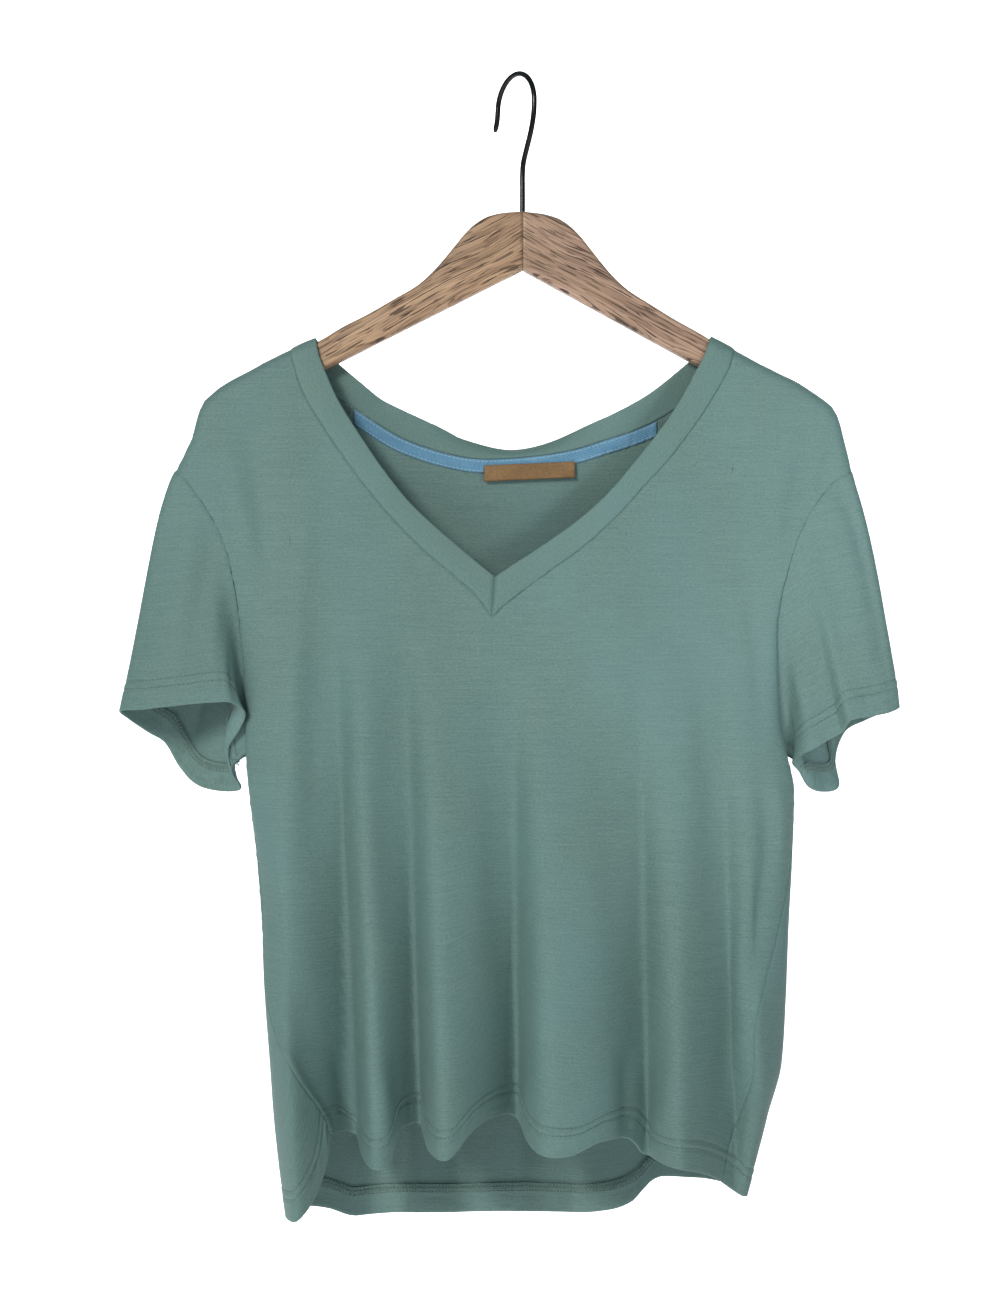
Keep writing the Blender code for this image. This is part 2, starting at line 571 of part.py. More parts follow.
def sheet(name, grid, material, wall, closed=False):
    """A cloth wall from a grid of points, half of its thickness to each side."""
    columns, rows = grid.shape[:2]
    bm = bmesh.new()
    verts = [[bm.verts.new(Vector(grid[i, j]) * MM) for j in range(rows)] for i in range(columns)]
    for i in range(columns if closed else columns - 1):
        k = (i + 1) % columns
        for j in range(rows - 1):
            bm.faces.new((verts[i][j], verts[i][j + 1], verts[k][j + 1], verts[k][j]))
    mesh = bpy.data.meshes.new(name)
    bm.to_mesh(mesh)
    bm.free()
    mesh.shade_smooth()
    obj = finish(name, mesh, material)
    solid = obj.modifiers.new("wall", "SOLIDIFY")
    solid.thickness = wall * MM
    solid.offset = 0.0
    return obj


def body_panel(name, side):
    """The front or the back. Returns the grid too, whose sides the sleeves are sewn to."""
    whole = panel(side)
    grid = trim(whole, ("left", "right"))
    shoulder = len(SIDE_COLUMNS) + SHOULDER_COLUMNS_EVEN + 1
    for columns in (slice(0, shoulder), slice(-shoulder, None)):
        grid = trim(grid, ("top",), columns=columns)
    grid = turn_up(grid, -side)
    sheet(name, grid, "jersey", WALL)
    return whole


def sleeve(name, front, back, cuff, bulge, outward):
    """A tube that leaves the armhole in line with the panels, runs to the cuff and turns up inside."""
    count = UNDERARM_STEP + 1
    loop = np.vstack((front[0][:count], back[0][1:count - 1][::-1]))
    away = np.vstack((unit(front[0] - front[1])[:count], unit(back[0] - back[1])[1:count - 1][::-1]))
    down = lengths(loop[:count])
    up = lengths(np.vstack((loop[count - 1:], loop[:1])))
    turn = np.concatenate((0.5 * down / down[-1], 0.5 + 0.5 * up[1:-1] / up[-1]))
    end = np.stack([smooth_round(cuff, turn, k) for k in (1, 2, 3)], axis=1)
    belly = np.stack([smooth_round(bulge, turn, k) for k in (1, 2, 3)], axis=1)
    low = ease((VALLEY_REACH - np.abs(turn - 0.5)) / (VALLEY_REACH - VALLEY_FULL))[:, None]
    side = np.array((outward, 0.0, -0.3))
    away = unit(away + low * VALLEY_TURN * side)
    start = loop + low * VALLEY_GAP * np.array((outward, 0.0, 0.0))
    chord = end - start
    pull = SLEEVE_PULL * np.linalg.norm(chord, axis=1, keepdims=True)
    rings = []
    for s in SLEEVE_STEPS:
        rings.append(start + chord * s * s * (3 - 2 * s) + away * pull * s * (1 - s) ** 2
                     + chord * s * s * (s - 1) + belly * 4 * s * s * (1 - s))
    grid = trim(np.stack(rings, axis=1), ("top",), SLEEVE_SET_IN, closed=True)
    grid = turn_up(grid, -outward, closed=True)
    return sheet(name, grid, "jersey", WALL, closed=True)


def unit(vectors):
    return vectors / np.linalg.norm(vectors, axis=-1, keepdims=True)


def smooth_round(rows, at, column):
    """Read a column of a table that goes once round, on a smooth closed curve."""
    table = np.asarray(rows, float)
    again = np.vstack((table[-2:], table, table[:2]))
    again[:2, 0] -= 1
    again[-2:, 0] += 1
    x, y = again[:, 0], again[:, column]
    tangent = np.gradient(y, x)
    i = np.clip(np.searchsorted(x, at, side="right") - 1, 0, len(x) - 2)
    step = x[i + 1] - x[i]
    u = (at - x[i]) / step
    return ((2 * u**3 - 3 * u**2 + 1) * y[i] + (u**3 - 2 * u**2 + u) * step * tangent[i]
            + (3 * u**2 - 2 * u**3) * y[i + 1] + (u**3 - u**2) * step * tangent[i + 1])


def band_rows(outer, inner, side):
    """Rows of the band, each from its seam to its free edge."""
    outer, inner = curve_through(outer, 200), curve_through(inner, 200)
    at = neck_fractions(outer, side == BACK)
    outer, inner = even(outer, at), even(inner, at)
    seam, edge = skin(outer, side), skin(inner, side)
    seen = np.linalg.norm(outer - inner, axis=1)
    lean = np.sqrt(np.maximum(BAND_WIDTH**2 - seen**2, 0.0)) if side == BACK else np.zeros(len(at))
    rows = []
    for k in BAND_STEPS:
        row = seam + (edge - seam) * k
        row[:, 1] += lean * k**2
        rows.append(row)
    return np.stack(rows, axis=1)


def neckband():
    """One strip: up the left front, round the back neck and down the right front to the V."""
    left = band_rows(SEAM_FRONT_LEFT, EDGE_FRONT_LEFT, FRONT)
    back = band_rows(SEAM_BACK, EDGE_BACK, BACK)
    right = band_rows(SEAM_FRONT_RIGHT, EDGE_FRONT_RIGHT, FRONT)[::-1]
    strip = np.concatenate((left, back[1:-1], right))
    return sheet("neckband", trim(strip, ("top", "left", "right")), "jersey", BAND_WALL)


def inside_back(x, down, layers):
    """Places inside the back neck, below the seam and a number of millimetres in from the panel."""
    line = np.stack((x, np.interp(x, BACK_NECK[:, 0], BACK_NECK[:, 1]) - down), axis=1)
    point = skin(line, BACK)
    point[:, 1] -= layers
    return point


def neck_tape():
    x = np.linspace(TAPE_LEFT, TAPE_RIGHT, TAPE_COLUMNS)
    layer = WALL / 2 + SEAM_GAP + TAPE_WALL / 2
    slope = np.gradient(np.interp(x, BACK_NECK[:, 0], BACK_NECK[:, 1]), x)
    depth = TAPE_WIDTH * np.sqrt(1 + slope**2)
    rows = [inside_back(x, TAPE_DROP + depth * k, layer) for k in (0.0, 0.5, 1.0)]
    return sheet("neck_tape", np.stack(rows, axis=1), "tape", TAPE_WALL)


def neck_label():
    """A flat label whose ends are folded under."""
    base = WALL / 2 + SEAM_GAP + TAPE_WALL + SEAM_GAP + LABEL_WALL / 2
    bend = (LABEL_WALL + SEAM_GAP) / 2
    path = [(LABEL_LEFT + LABEL_FLAP, 0.0), (LABEL_LEFT + 1.0, 0.0)]
    for turn in np.radians((45, 90, 135)):
        path.append((LABEL_LEFT - bend * math.sin(turn) + 1.0, bend * (1 - math.cos(turn))))
    face = np.linspace(LABEL_LEFT + 1.0, LABEL_RIGHT - 1.0, LABEL_COLUMNS)
    path += [(x, 2 * bend) for x in face]
    for turn in np.radians((135, 90, 45)):
        path.append((LABEL_RIGHT + bend * math.sin(turn) - 1.0, bend * (1 - math.cos(turn))))
    path += [(LABEL_RIGHT - 1.0, 0.0), (LABEL_RIGHT - LABEL_FLAP, 0.0)]
    columns = []
    for x, out in path:
        top = LABEL_TOP + LABEL_TILT * (x - LABEL_LEFT)
        line = np.array([(x, top), (x, top - LABEL_WIDTH / 2), (x, top - LABEL_WIDTH)])
        column = skin(line, BACK)
        column[:, 1] = column[:, 1].min() - base - out
        columns.append(column)
    return sheet("neck_label", np.array(columns), "kraft", LABEL_WALL)


def hanger_section(top, bottom, half):
    """A rounded rectangle round the arm, in depth and height."""
    round_off = min(HANGER_EDGE, 0.45 * (top - bottom), 0.8 * half)
    y, z_top, z_bottom = half - round_off, top - round_off, bottom + round_off
    points = []
    for centre_y, centre_z, first in ((y, z_top, 0), (-y, z_top, 90), (-y, z_bottom, 180), (y, z_bottom, 270)):
        for step in (0, 30, 60, 90):
            a = math.radians(first + step)
            points.append((centre_y + round_off * math.cos(a), centre_z + round_off * math.sin(a)))
    return points


def hanger_arm(name, hand, drill):
    """Half of the hanger, lofted outwards from the mitre through its sections."""
    bm = bmesh.new()
    rings = []
    for out, top, bottom, thick in HANGER_ROWS:
        x = hand * max(out, MITRE_GAP / 2)
        half = HANGER_THICKNESS / 2 * thick
        tilt = HANGER_TILT * x
        rings.append([bm.verts.new(Vector((x, y, z - tilt)) * MM)
                      for y, z in hanger_section(top, bottom, half)])
    for a, b in zip(rings, rings[1:]):
        for i in range(len(a)):
            k = (i + 1) % len(a)
            bm.faces.new((a[i], a[k], b[k], b[i]))
    bm.faces.new(rings[0])
    bm.faces.new(rings[-1])
    bmesh.ops.recalc_face_normals(bm, faces=bm.faces)
    mesh = bpy.data.meshes.new(name)
    bm.to_mesh(mesh)
    bm.free()
    mesh.shade_smooth()
    obj = finish(name, mesh, "oak")
    cut = obj.modifiers.new("hook hole", "BOOLEAN")
    cut.operation = "DIFFERENCE"
    cut.solver = "EXACT"
    cut.object = drill
    return obj


def hook_drill():
    """Cutter for the hole that the hook is screwed into."""
    bpy.ops.mesh.primitive_cylinder_add(vertices=16, radius=(WIRE / 2 + SEAM_GAP) * MM,
                                        depth=2 * HOOK_DEPTH * MM, location=(0, 0, HANGER_ROWS[0][1] * MM))
    drill = bpy.context.object
    drill.name = "hook_hole"
    for collection in list(drill.users_collection):
        collection.objects.unlink(drill)
    CUTTERS.objects.link(drill)
    drill.parent = FRAME
    drill.hide_render = True
    drill.display_type = "WIRE"
    return drill


def hook():
    """The wire: a straight stem, a bend to the right, then the round top and the open end."""
    points = [(0.0, HANGER_ROWS[0][1] - HOOK_DEPTH + SEAM_GAP), (0.0, -85.0), (0.0, -72.0)]
    points += [(1.2, -63.0), (5.6, -53.0), (10.6, -42.0), (13.8, -31.0)]
    for turn in np.radians(np.arange(0.0, 181.0, 15.0)):
        points.append((HOOK_SHIFT + HOOK_RADIUS * math.cos(turn),
                       WIRE / 2 - HOOK_RADIUS + HOOK_RADIUS * math.sin(turn)))
    points += [(HOOK_SHIFT - HOOK_RADIUS - 1.0, -27.5), (HOOK_SHIFT - HOOK_RADIUS - 3.6, -34.5)]
    line = curve_through(points, HOOK_POINTS)
    curve = bpy.data.curves.new("hanger_hook", "CURVE")
    curve.dimensions = "3D"
    curve.bevel_depth = WIRE / 2 * MM
    curve.bevel_resolution = 2
    curve.use_fill_caps = True
    spline = curve.splines.new("POLY")
    spline.points.add(len(line) - 1)
    for point, (along, z) in zip(spline.points, line):
        x, y = along * math.cos(HOOK_TURN), -along * math.sin(HOOK_TURN)
        point.co = (x * MM, y * MM, z * MM, 1.0)
    return finish("hanger_hook", curve, "wire")


def material(name, colour, roughness, metallic):
    made = bpy.data.materials.new(name)
    made.use_nodes = True
    shader = made.node_tree.nodes["Principled BSDF"]
    shader.inputs["Base Color"].default_value = (*colour, 1.0)
    shader.inputs["Roughness"].default_value = roughness
    shader.inputs["Metallic"].default_value = metallic
    return made


def collection(name):
    made = bpy.data.collections.new(name)
    bpy.context.scene.collection.children.link(made)
    return made


for old in list(bpy.data.objects):
    bpy.data.objects.remove(old, do_unlink=True)
PARTS = collection("t_shirt_on_hanger")
CUTTERS = collection("cutters")
MATERIALS = {name: material(name, *values) for name, values in FINISHES.items()}
FRAME = bpy.data.objects.new("hook_top", None)
FRAME.location = (-HOOK_SHIFT * math.cos(HOOK_TURN) * MM, HOOK_SHIFT * math.sin(HOOK_TURN) * MM, 0.0)
PARTS.objects.link(FRAME)

BACK_NECK = curve_through(SEAM_BACK, 120)
SEAM_HEMS = (hem_height(0.0, FRONT), hem_height(1.0, FRONT))
front_grid = body_panel("front_panel", FRONT)
back_grid = body_panel("back_panel", BACK)
sleeve("sleeve_left", front_grid[:2], back_grid[:2], CUFF_LEFT, BULGE_LEFT, -1)
sleeve("sleeve_right", front_grid[:-3:-1], back_grid[:-3:-1], CUFF_RIGHT, BULGE_RIGHT, 1)
neckband()
neck_tape()
neck_label()
hole = hook_drill()
hanger_arm("hanger_arm_left", -1, hole)
hanger_arm("hanger_arm_right", 1, hole)
hook()
bpy.context.view_layer.update()
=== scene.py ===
"""Looks of a V-neck t-shirt on a flat wooden hanger, built round the frame of its solids.

The tables are in millimetres round the hanger: x to the viewer's right, y away from the viewer,
z up. OFFSET moves them into the frame, whose origin is the inside top of the hook.
"""
import math

import bmesh
import bpy
import numpy as np
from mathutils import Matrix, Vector


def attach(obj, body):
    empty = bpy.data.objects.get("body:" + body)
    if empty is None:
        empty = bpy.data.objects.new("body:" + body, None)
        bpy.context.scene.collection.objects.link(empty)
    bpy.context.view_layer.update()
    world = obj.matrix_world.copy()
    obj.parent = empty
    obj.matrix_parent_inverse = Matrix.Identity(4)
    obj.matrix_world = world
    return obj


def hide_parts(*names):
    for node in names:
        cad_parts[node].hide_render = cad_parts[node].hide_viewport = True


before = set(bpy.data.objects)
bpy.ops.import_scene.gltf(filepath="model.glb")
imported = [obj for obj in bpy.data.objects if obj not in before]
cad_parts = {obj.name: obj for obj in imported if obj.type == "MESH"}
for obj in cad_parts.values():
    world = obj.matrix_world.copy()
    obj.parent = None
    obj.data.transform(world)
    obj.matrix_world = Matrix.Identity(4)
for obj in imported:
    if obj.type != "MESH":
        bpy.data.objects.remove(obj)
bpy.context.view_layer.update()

MM = 0.001
FRONT, BACK = -1, 1
WALL = 0.8              # shell of the cloth
LAYER_STEP = 1.0        # from the outer layer of a hem to the one turned up inside
HEM_DEPTH = 21.0
HEM_STITCHES = (14.6, 20.4)     # twin needle rows above a hem's edge
HEM_MIDDLE = 12.0       # height over the edge where a hem puckers most
HEM_THREAD = 0.32       # radius
FOLD_RADIUS = 0.5
FOLD_TURNS = np.radians((35, 65, 90, 115, 145))
SEAM_GAP = 0.04         # the sewn edges nearly touch here
WAVES_SPREAD = 1.7      # three waves of height 1 add up to about this
BAND_WIDTH = 17.0
BAND_HALF = 0.8         # half of the folded neckband's thickness
BAND_ROWS = 13
BAND_TURN = 14.0        # over this length before its ends the band comes to face the viewer
BEND_TURNS = np.radians((30, 60, 90, 120, 150))
TAPE_WIDTH = 9.5
TAPE_LEFT, TAPE_RIGHT = -121.0, 97.0
TAPE_DROP = 0.6
TAPE_LIFT = 0.9         # from the middle of the back's wall to the middle of the tape
LABEL_WIDTH = 11.5
LABEL_LEFT, LABEL_RIGHT = -27.6, 38.2
LABEL_TOP = -278.0
LABEL_TILT = 0.043
LABEL_FLAP = 7.0
LABEL_BEND = 0.55       # radius of its folded ends
LABEL_LIFT = 1.9
LABEL_ROWS = 9
OVER_ARM = 8.6          # the cloth bends over the hanger within this of a shoulder seam

HANGER_THICKNESS = 14.0
HANGER_EDGE = 4.0
HANGER_TILT = 0.022     # the right arm hangs a little lower
HANGER_SLOPE = math.radians(27.7)       # of its grain
ARM_TIP = 207           # from here out the arm is rounded off
MITRE_GAP = 0.16
WIRE = 3.9
HOOK_RADIUS = 23.0
HOOK_TURN = math.radians(56.0)
HOOK_SHIFT = -8.4
HOOK_DEPTH = 20.0
OFFSET = np.array((-HOOK_SHIFT * math.cos(HOOK_TURN), HOOK_SHIFT * math.sin(HOOK_TURN), 0.0))

# Outline of the body: armhole line down to the underarm, then the side of the body.
# Depths are from the hanger's middle plane, to the front or to the back.
# "round" is 0 where the chest runs flat into the sleeve and 1 where the side turns round.
UNDERARM = -486.0
BODY_COLUMNS = ("height", "left", "right", "edge_front", "edge_back", "mid_front", "mid_back", "round")
BODY_ROWS = (
    (-185, -252, 238, 8.6, 8.6, 8.6, 8.6, 0),
    (-240, -250, 236, 8.6, 8.6, 13.5, 14, 0),
    (-282.5, -247.5, 234.5, 8.6, 8.6, 18, 18.5, 0),
    (-291, -239, 222, 9.5, 10.5, 19, 19.5, 0),
    (-303, -230, 211.5, 11.5, 13, 20, 21, 0),
    (-315, -222, 203.5, 13, 15, 21.5, 22.5, 0),
    (-329, -214.5, 196.5, 14, 17, 23, 24, 0.05),
    (-344, -209, 191, 14.5, 18, 24.5, 25.5, 0.1),
    (-358, -206, 187, 14.5, 18.5, 26, 27, 0.2),
    (-375, -202.8, 182.8, 13.5, 18, 28, 29, 0.4),
    (-400, -200, 180, 11, 16, 30.5, 31.5, 0.6),
    (-430, -198, 181, 7.5, 12, 33.5, 34.5, 0.8),
    (-460, -197, 183, 3.5, 6.5, 36.5, 37, 0.95),
    (-486, -197, 188.5, 0, 0, 38.5, 39, 1),
    (-512, -195, 193.5, 0, 0, 40.5, 41, 1),
    (-560, -189.5, 191.8, 0, 0, 44, 44, 1),
    (-605, -186, 189.3, 0, 0, 47, 46.5, 1),
    (-660, -183.2, 187, 0, 0, 51, 49, 1),
    (-705, -180, 184, 0, 0, 54, 51, 1),
    (-740, -177.5, 174.5, 0, 0, 56, 53, 1),
    (-781, -173, 164, 0, 0, 58, 55, 1),
    (-830, -166, 153, 0, 0, 60, 57, 1),
)
ROUND_POWER = 2.5       # roundness of the ring at the sides
FLAT_POWER = 2.4        # fullness of the chest between the armholes

# How far the side seams swing to the front towards the hem, in degrees round the ring.
# Columns: height, left, right
SEAM_ROWS = (
    (-486, 0, 0), (-560, 0, 9), (-607, 0, 19), (-646, 6, 28), (-681, 19, 33),
    (-714, 33, 32), (-740, 41.5, 32), (-766, 45, 33), (-830, 50, 33),
)

# Soft vertical folds. "out" is how far the fold stands out at the hem, minus for a valley.
# Columns: x_top, x_hem, left_width, right_width, out, starts
FRONT_FOLDS = (
    (-176, -160, 14, 14, 36, -480),
    (-133, -118, 29, 10, -80, -370),
    (-118, -105, 8, 12, 8, -400),
    (-84, -71, 22, 9.5, -62, -390),
    (-70, -58, 8, 16, 7, -400),
    (-8, -3, 26, 10, -68, -420),
    (80, 90, 24, 10, -50, -420),
    (112, 108, 9, 16, 7, -420),
    (137, 152, 22, 9, -42, -400),
    (153, 172, 7, 8, 7, -430),
)
BACK_FOLDS = (
    (-150, -128, 17, 17, 9, -500),
    (-100, -88, 24, 11, -12, -470),
    (-55, -46, 16, 24, 9, -500),
    (-5, -4, 24, 13, -13, -460),
    (45, 40, 15, 22, 9, -500),
    (95, 84, 22, 12, -13, -480),
    (140, 122, 15, 15, 8, -540),
)
FOLDS_FULL = -800.0     # height where the folds reach their full depth
FOLD_GROWTH = 1.1       # how late the folds deepen on their way down
FOLD_POINT = 1.5        # 1 is a sharp crease, 2 a round fold
VALLEY_DEPTH = 110.0    # the folds flatten towards these depths
RIDGE_HEIGHT = 60.0
HEM_LIFT_BACK = 0.3     # a valley's hem is pulled up by this much of its depth
WRAP_POWER = 3.5        # how late the back's hem climbs to the front's at a side seam

# Height of the hem edges. The back's is given before its folds lift it.
# Columns: x, height
FRONT_HEM = (
    (-170, -757), (-150, -755), (-134.6, -753.5), (-124.5, -754.5), (-120.5, -757.5), (-117.5, -763.5),
    (-115, -770), (-111, -772.4), (-103, -772.8), (-95.5, -771.8), (-92.5, -768), (-90.5, -759),
    (-88.3, -750), (-84, -746.6), (-77, -746), (-73, -747.5), (-70.5, -752), (-68.3, -759),
    (-65.5, -762.6), (-60, -763.4), (-53.5, -763), (-47.5, -759), (-41.5, -751.5),
    (-35.5, -745.5), (-29, -741.2), (-21, -738.8), (-13, -738.8), (-7.5, -740.6), (-3.5, -745),
    (0, -751), (4, -756.6), (10, -759.8), (20, -760.6), (32, -759.6), (42, -755.6), (53.5, -751.2),
    (66, -750.4), (74.5, -753), (80, -759), (84.5, -766), (92, -768.6), (106, -770),
    (116, -772), (126, -776), (134, -780.5), (142, -786.5), (150, -790.5), (160, -794.5),
)
BACK_HEM = (
    (-165, -812), (-142, -817.5), (-120, -825.5), (45, -825.5), (65, -823.5), (80, -818), (89, -808),
    (96, -800.5), (103, -797), (130, -795.5), (160, -799),
)

# Shoulder seams, from the neckband to the tip of the shoulder where the sleeve begins.
# Columns: x, height
SHOULDER_LEFT = (
    (-165.6, -196.6), (-182, -204.6), (-208, -218.6), (-220, -226.6), (-227, -233.2), (-231.2, -241),
    (-233.4, -250), (-236.5, -260.5), (-241.5, -271.5), (-247.5, -282.5),
)
SHOULDER_RIGHT = (
    (151, -196.6), (163.5, -203.6), (183.5, -213.7), (197.8, -220.7), (209.6, -228.8), (219.6, -236.2),
    (225.3, -244.5), (228.3, -255.5), (231.4, -269), (234.5, -282.5),
)

# Neckline: seam of the front band (outer edge) and its free edge, from the V up to the shoulder.
# Columns: x, height
SEAM_FRONT_LEFT = (
    (-22, -388), (-33, -372.7), (-48.9, -358.3), (-70.4, -339.9), (-90.9, -319.4), (-110.7, -296),
    (-128.5, -271.8), (-144.3, -248.2), (-155.4, -229.2), (-161.6, -213), (-165.6, -196.6),
)
SEAM_FRONT_RIGHT = (
    (-22, -388), (-8.5, -375.9), (19.7, -354.8), (38.7, -341.3), (54.3, -327.9), (70.6, -312.3),
    (84.8, -296), (99.7, -280.3), (114, -262.5), (125.5, -246.7), (137.7, -227.4), (146.4, -211.6),
    (151, -196.6),
)
EDGE_FRONT_LEFT = (
    (-19.8, -360.2), (-27.4, -354.1), (-44.3, -339.9), (-64.8, -322.2), (-82.1, -305.2), (-99.5, -283.2),
    (-113.7, -262.5), (-123, -248.2), (-132.4, -232.4), (-141, -213), (-145.4, -201.5), (-147.8, -189.4),
)
EDGE_FRONT_RIGHT = (
    (-19.8, -360.2), (-9.8, -353.4), (5.6, -343.5), (27.5, -328.6), (45.9, -314.4), (63.6, -297.4),
    (79.2, -278.9), (92.4, -262.5), (104.2, -246.7), (114.3, -230.6), (123, -214.5), (129.1, -203),
    (134.5, -188.6),
)
SEAM_BACK = (
    (-165.6, -196.6), (-158, -210), (-142, -224.5), (-120.5, -237.5), (-92.5, -255.2), (-71.6, -264.1),
    (-49.6, -270.2), (-27.6, -273), (6.4, -271.2), (36, -266.6), (57.6, -260.2), (80, -253),
    (97.6, -245.2), (120, -231), (141, -211.5), (151, -196.6),
)
EDGE_BACK = (
    (-147.8, -189.4), (-140, -199), (-131.8, -206.5), (-115.3, -220.3), (-98.1, -233.1), (-57.1, -252.3),
    (-42, -259.4), (-10.9, -266.5), (17.9, -261.9), (50.3, -248), (72.6, -238.1), (94.5, -225.3),
    (119.1, -205.5), (127, -198.5), (134.5, -188.6),
)

# Cuffs: "turn" goes once round, from the top over the front, the underarm fold and the back.
# Columns: turn, x, depth, height
CUFF_LEFT = (
    (0.00, -287.5, 0, -453.9), (0.06, -272, -12, -452.6), (0.14, -246.5, -20, -449.8),
    (0.22, -220, -25, -447.2), (0.285, -203.5, -26.5, -447.8), (0.33, -196.5, -20.5, -454.5),
    (0.38, -201.5, -8, -467), (0.43, -210.5, 2, -481), (0.48, -208.5, 12, -499),
    (0.53, -203.5, 20, -510), (0.58, -212, 27, -513), (0.65, -234.3, 35, -509.7),
    (0.73, -249.7, 40, -496.8), (0.80, -260.4, 38, -478.4), (0.87, -272, 30, -470),
    (0.94, -283, 15, -460.5),
)
CUFF_RIGHT = (
    (0.00, 268.9, 0, -451.7), (0.05, 261, -9, -454.5), (0.11, 245.8, -15, -457.5),
    (0.17, 231, -19, -460.5), (0.215, 226.5, -11, -468.5), (0.27, 214, -12.5, -476),
    (0.33, 201, -12, -483), (0.38, 192.8, -4, -490), (0.44, 198.5, 5, -497.5),
    (0.50, 206, 13, -508.5), (0.57, 218, 23, -513), (0.64, 229.5, 33, -509.5),
    (0.70, 229, 39, -491), (0.77, 235.5, 40, -471.5), (0.86, 250.3, 33, -461.5),
    (0.94, 263.5, 16, -454.5),
)

# Hanger outline by distance from its middle, the same on both sides.
# Columns: out, top, bottom, thick
HANGER_ROWS = (
    (0, -98.4, -140, 1), (12, -99.4, -146.3, 1), (24, -102.2, -152.6, 1),
    (33, -107.4, -157.3, 1), (41, -114.9, -161.5, 1), (48, -123.5, -165.2, 1),
    (56, -133.5, -169.4, 1), (65, -143.7, -174.1, 1), (75, -152.6, -179.4, 1),
    (90, -161.9, -187.3, 1), (110, -173.8, -197.8, 1), (130, -184.6, -208.3, 1),
    (140, -191, -213.5, 1), (152, -197.6, -219.8, 1), (172, -207.8, -230.3, 1),
    (192, -218.2, -240.4, 1), (206, -226.4, -246.6, 0.98), (213, -232, -248.5, 0.85),
    (217, -238, -247.5, 0.55),
)

# How far the sleeve swells half way down, by the same turn as its cuff.
# Columns: turn, x, depth, height
BULGE_LEFT = (
    (0, 1, 0, 0), (0.15, 0, -5, 0), (0.30, -5, -5, 0), (0.42, -8, -1, 0), (0.50, -9, 1, 2),
    (0.62, -6, 5, 0), (0.85, 0, 6, 0),
)
BULGE_RIGHT = (
    (0, 3, 0, 0), (0.15, 0, -5, 0), (0.30, 4, -4, 0), (0.42, 7, 0, 0), (0.50, 8, 1, 2), (0.62, 6, 5, 0),
    (0.85, 0, 6, 0),
)
VALLEY_REACH = 0.40     # in turns from the underarm, where the sleeve begins to head outwards
VALLEY_FULL = 0.20      # and where it does so fully
VALLEY_TURN = 1.6       # how far it heads outwards there
SLEEVE_PULL = 0.5       # how far the sleeve keeps the direction of the panels

# Density of the cloth meshes, as lengths from an edge and numbers of rows
SIDE_COLUMNS = (0.0, 0.6, 1.3, 2.1, 3.0, 4.2, 6.0, 8.4, 11.0)
SHOULDER_COLUMNS_EVEN = 16
BEND_ROWS = (0.0, 0.4, 0.9, 1.6, 2.5, 3.6, 5.0, 6.8, 9.0, 12.0, 15.0)
NECK_FRONT_ROWS = 46
NECK_BACK_ROWS = 70
BODY_ROWS_EVEN = 190
HEM_ROWS = 22
HEM_ZONE = 26.0         # height over the hem that has closer rows
COURSE_REACH = 260.0    # over this height the knit courses turn from level to the line of the hem
ARC_STEP = 5.0
RING_SAMPLES = 161
HEM_SAMPLES = 400
HEM_ROUNDS = 40         # of halving the distance to a hem's line
HEM_GUESS = -790.0
CURVE_STEPS = 12
SLEEVE_COLUMNS = 132
SLEEVE_START_ROWS = (0.0, 0.004, 0.010, 0.018, 0.03)

# How far in the columns follow a panel's side, at the top and at the hem. From SHOULDER_START on, and
# fully after SHOULDER_SPAN more, nearness to the side counts along the shoulder, not round the body.
EDGE_REACH = {FRONT: (130.0, 36.0), BACK: (180.0, 70.0)}
SHOULDER_START, SHOULDER_SPAN = 45, 140


def cubic(x, y, slope, at, i):
    """Read a curve through points with given slopes, where i is the stretch that each place is in."""
    step = x[i + 1] - x[i]
    u = (at - x[i]) / step
    return ((2 * u**3 - 3 * u**2 + 1) * y[i] + (u**3 - 2 * u**2 + u) * step * slope[i]
            + (3 * u**2 - 2 * u**3) * y[i + 1] + (u**3 - u**2) * step * slope[i + 1])


def smooth(rows, at, column=1):
    """Read a table's column at places along its first column, on a curve that never overshoots."""
    table = np.asarray(rows, dtype=float)
    x, y = table[:, 0], table[:, column]
    if x[0] > x[-1]:
        x, y = x[::-1], y[::-1]
    step = np.diff(x)
    slope = np.diff(y) / step
    tangent = np.zeros_like(y)
    tangent[0], tangent[-1] = slope[0], slope[-1]
    weight_a = 2 * step[1:] + step[:-1]
    weight_b = step[1:] + 2 * step[:-1]
    with np.errstate(divide="ignore", invalid="ignore"):
        mean = (weight_a + weight_b) / (weight_a / slope[:-1] + weight_b / slope[1:])
    tangent[1:-1] = np.where(slope[:-1] * slope[1:] > 0, mean, 0.0)
    at = np.clip(np.asarray(at, dtype=float), x[0], x[-1])
    return cubic(x, y, tangent, at, np.clip(np.searchsorted(x, at) - 1, 0, len(step) - 1))


def points_round(rows, at):
    """Points of a table that goes once round, on a smooth closed curve."""
    table = np.asarray(rows, float)
    table = np.vstack((table[-2:], table, table[:2]))
    table[:2, 0] -= 1
    table[-2:, 0] += 1
    x = table[:, 0]
    i = np.clip(np.searchsorted(x, at, side="right") - 1, 0, len(x) - 2)
    return np.stack([cubic(x, y, np.gradient(y, x), at, i) for y in table.T[1:]], axis=1)


def ease(u):
    """0 to 1 with flat ends."""
    u = np.clip(u, 0.0, 1.0)
    return u * u * (3 - 2 * u)


def unit(vectors):
    return vectors / np.linalg.norm(vectors, axis=-1, keepdims=True)


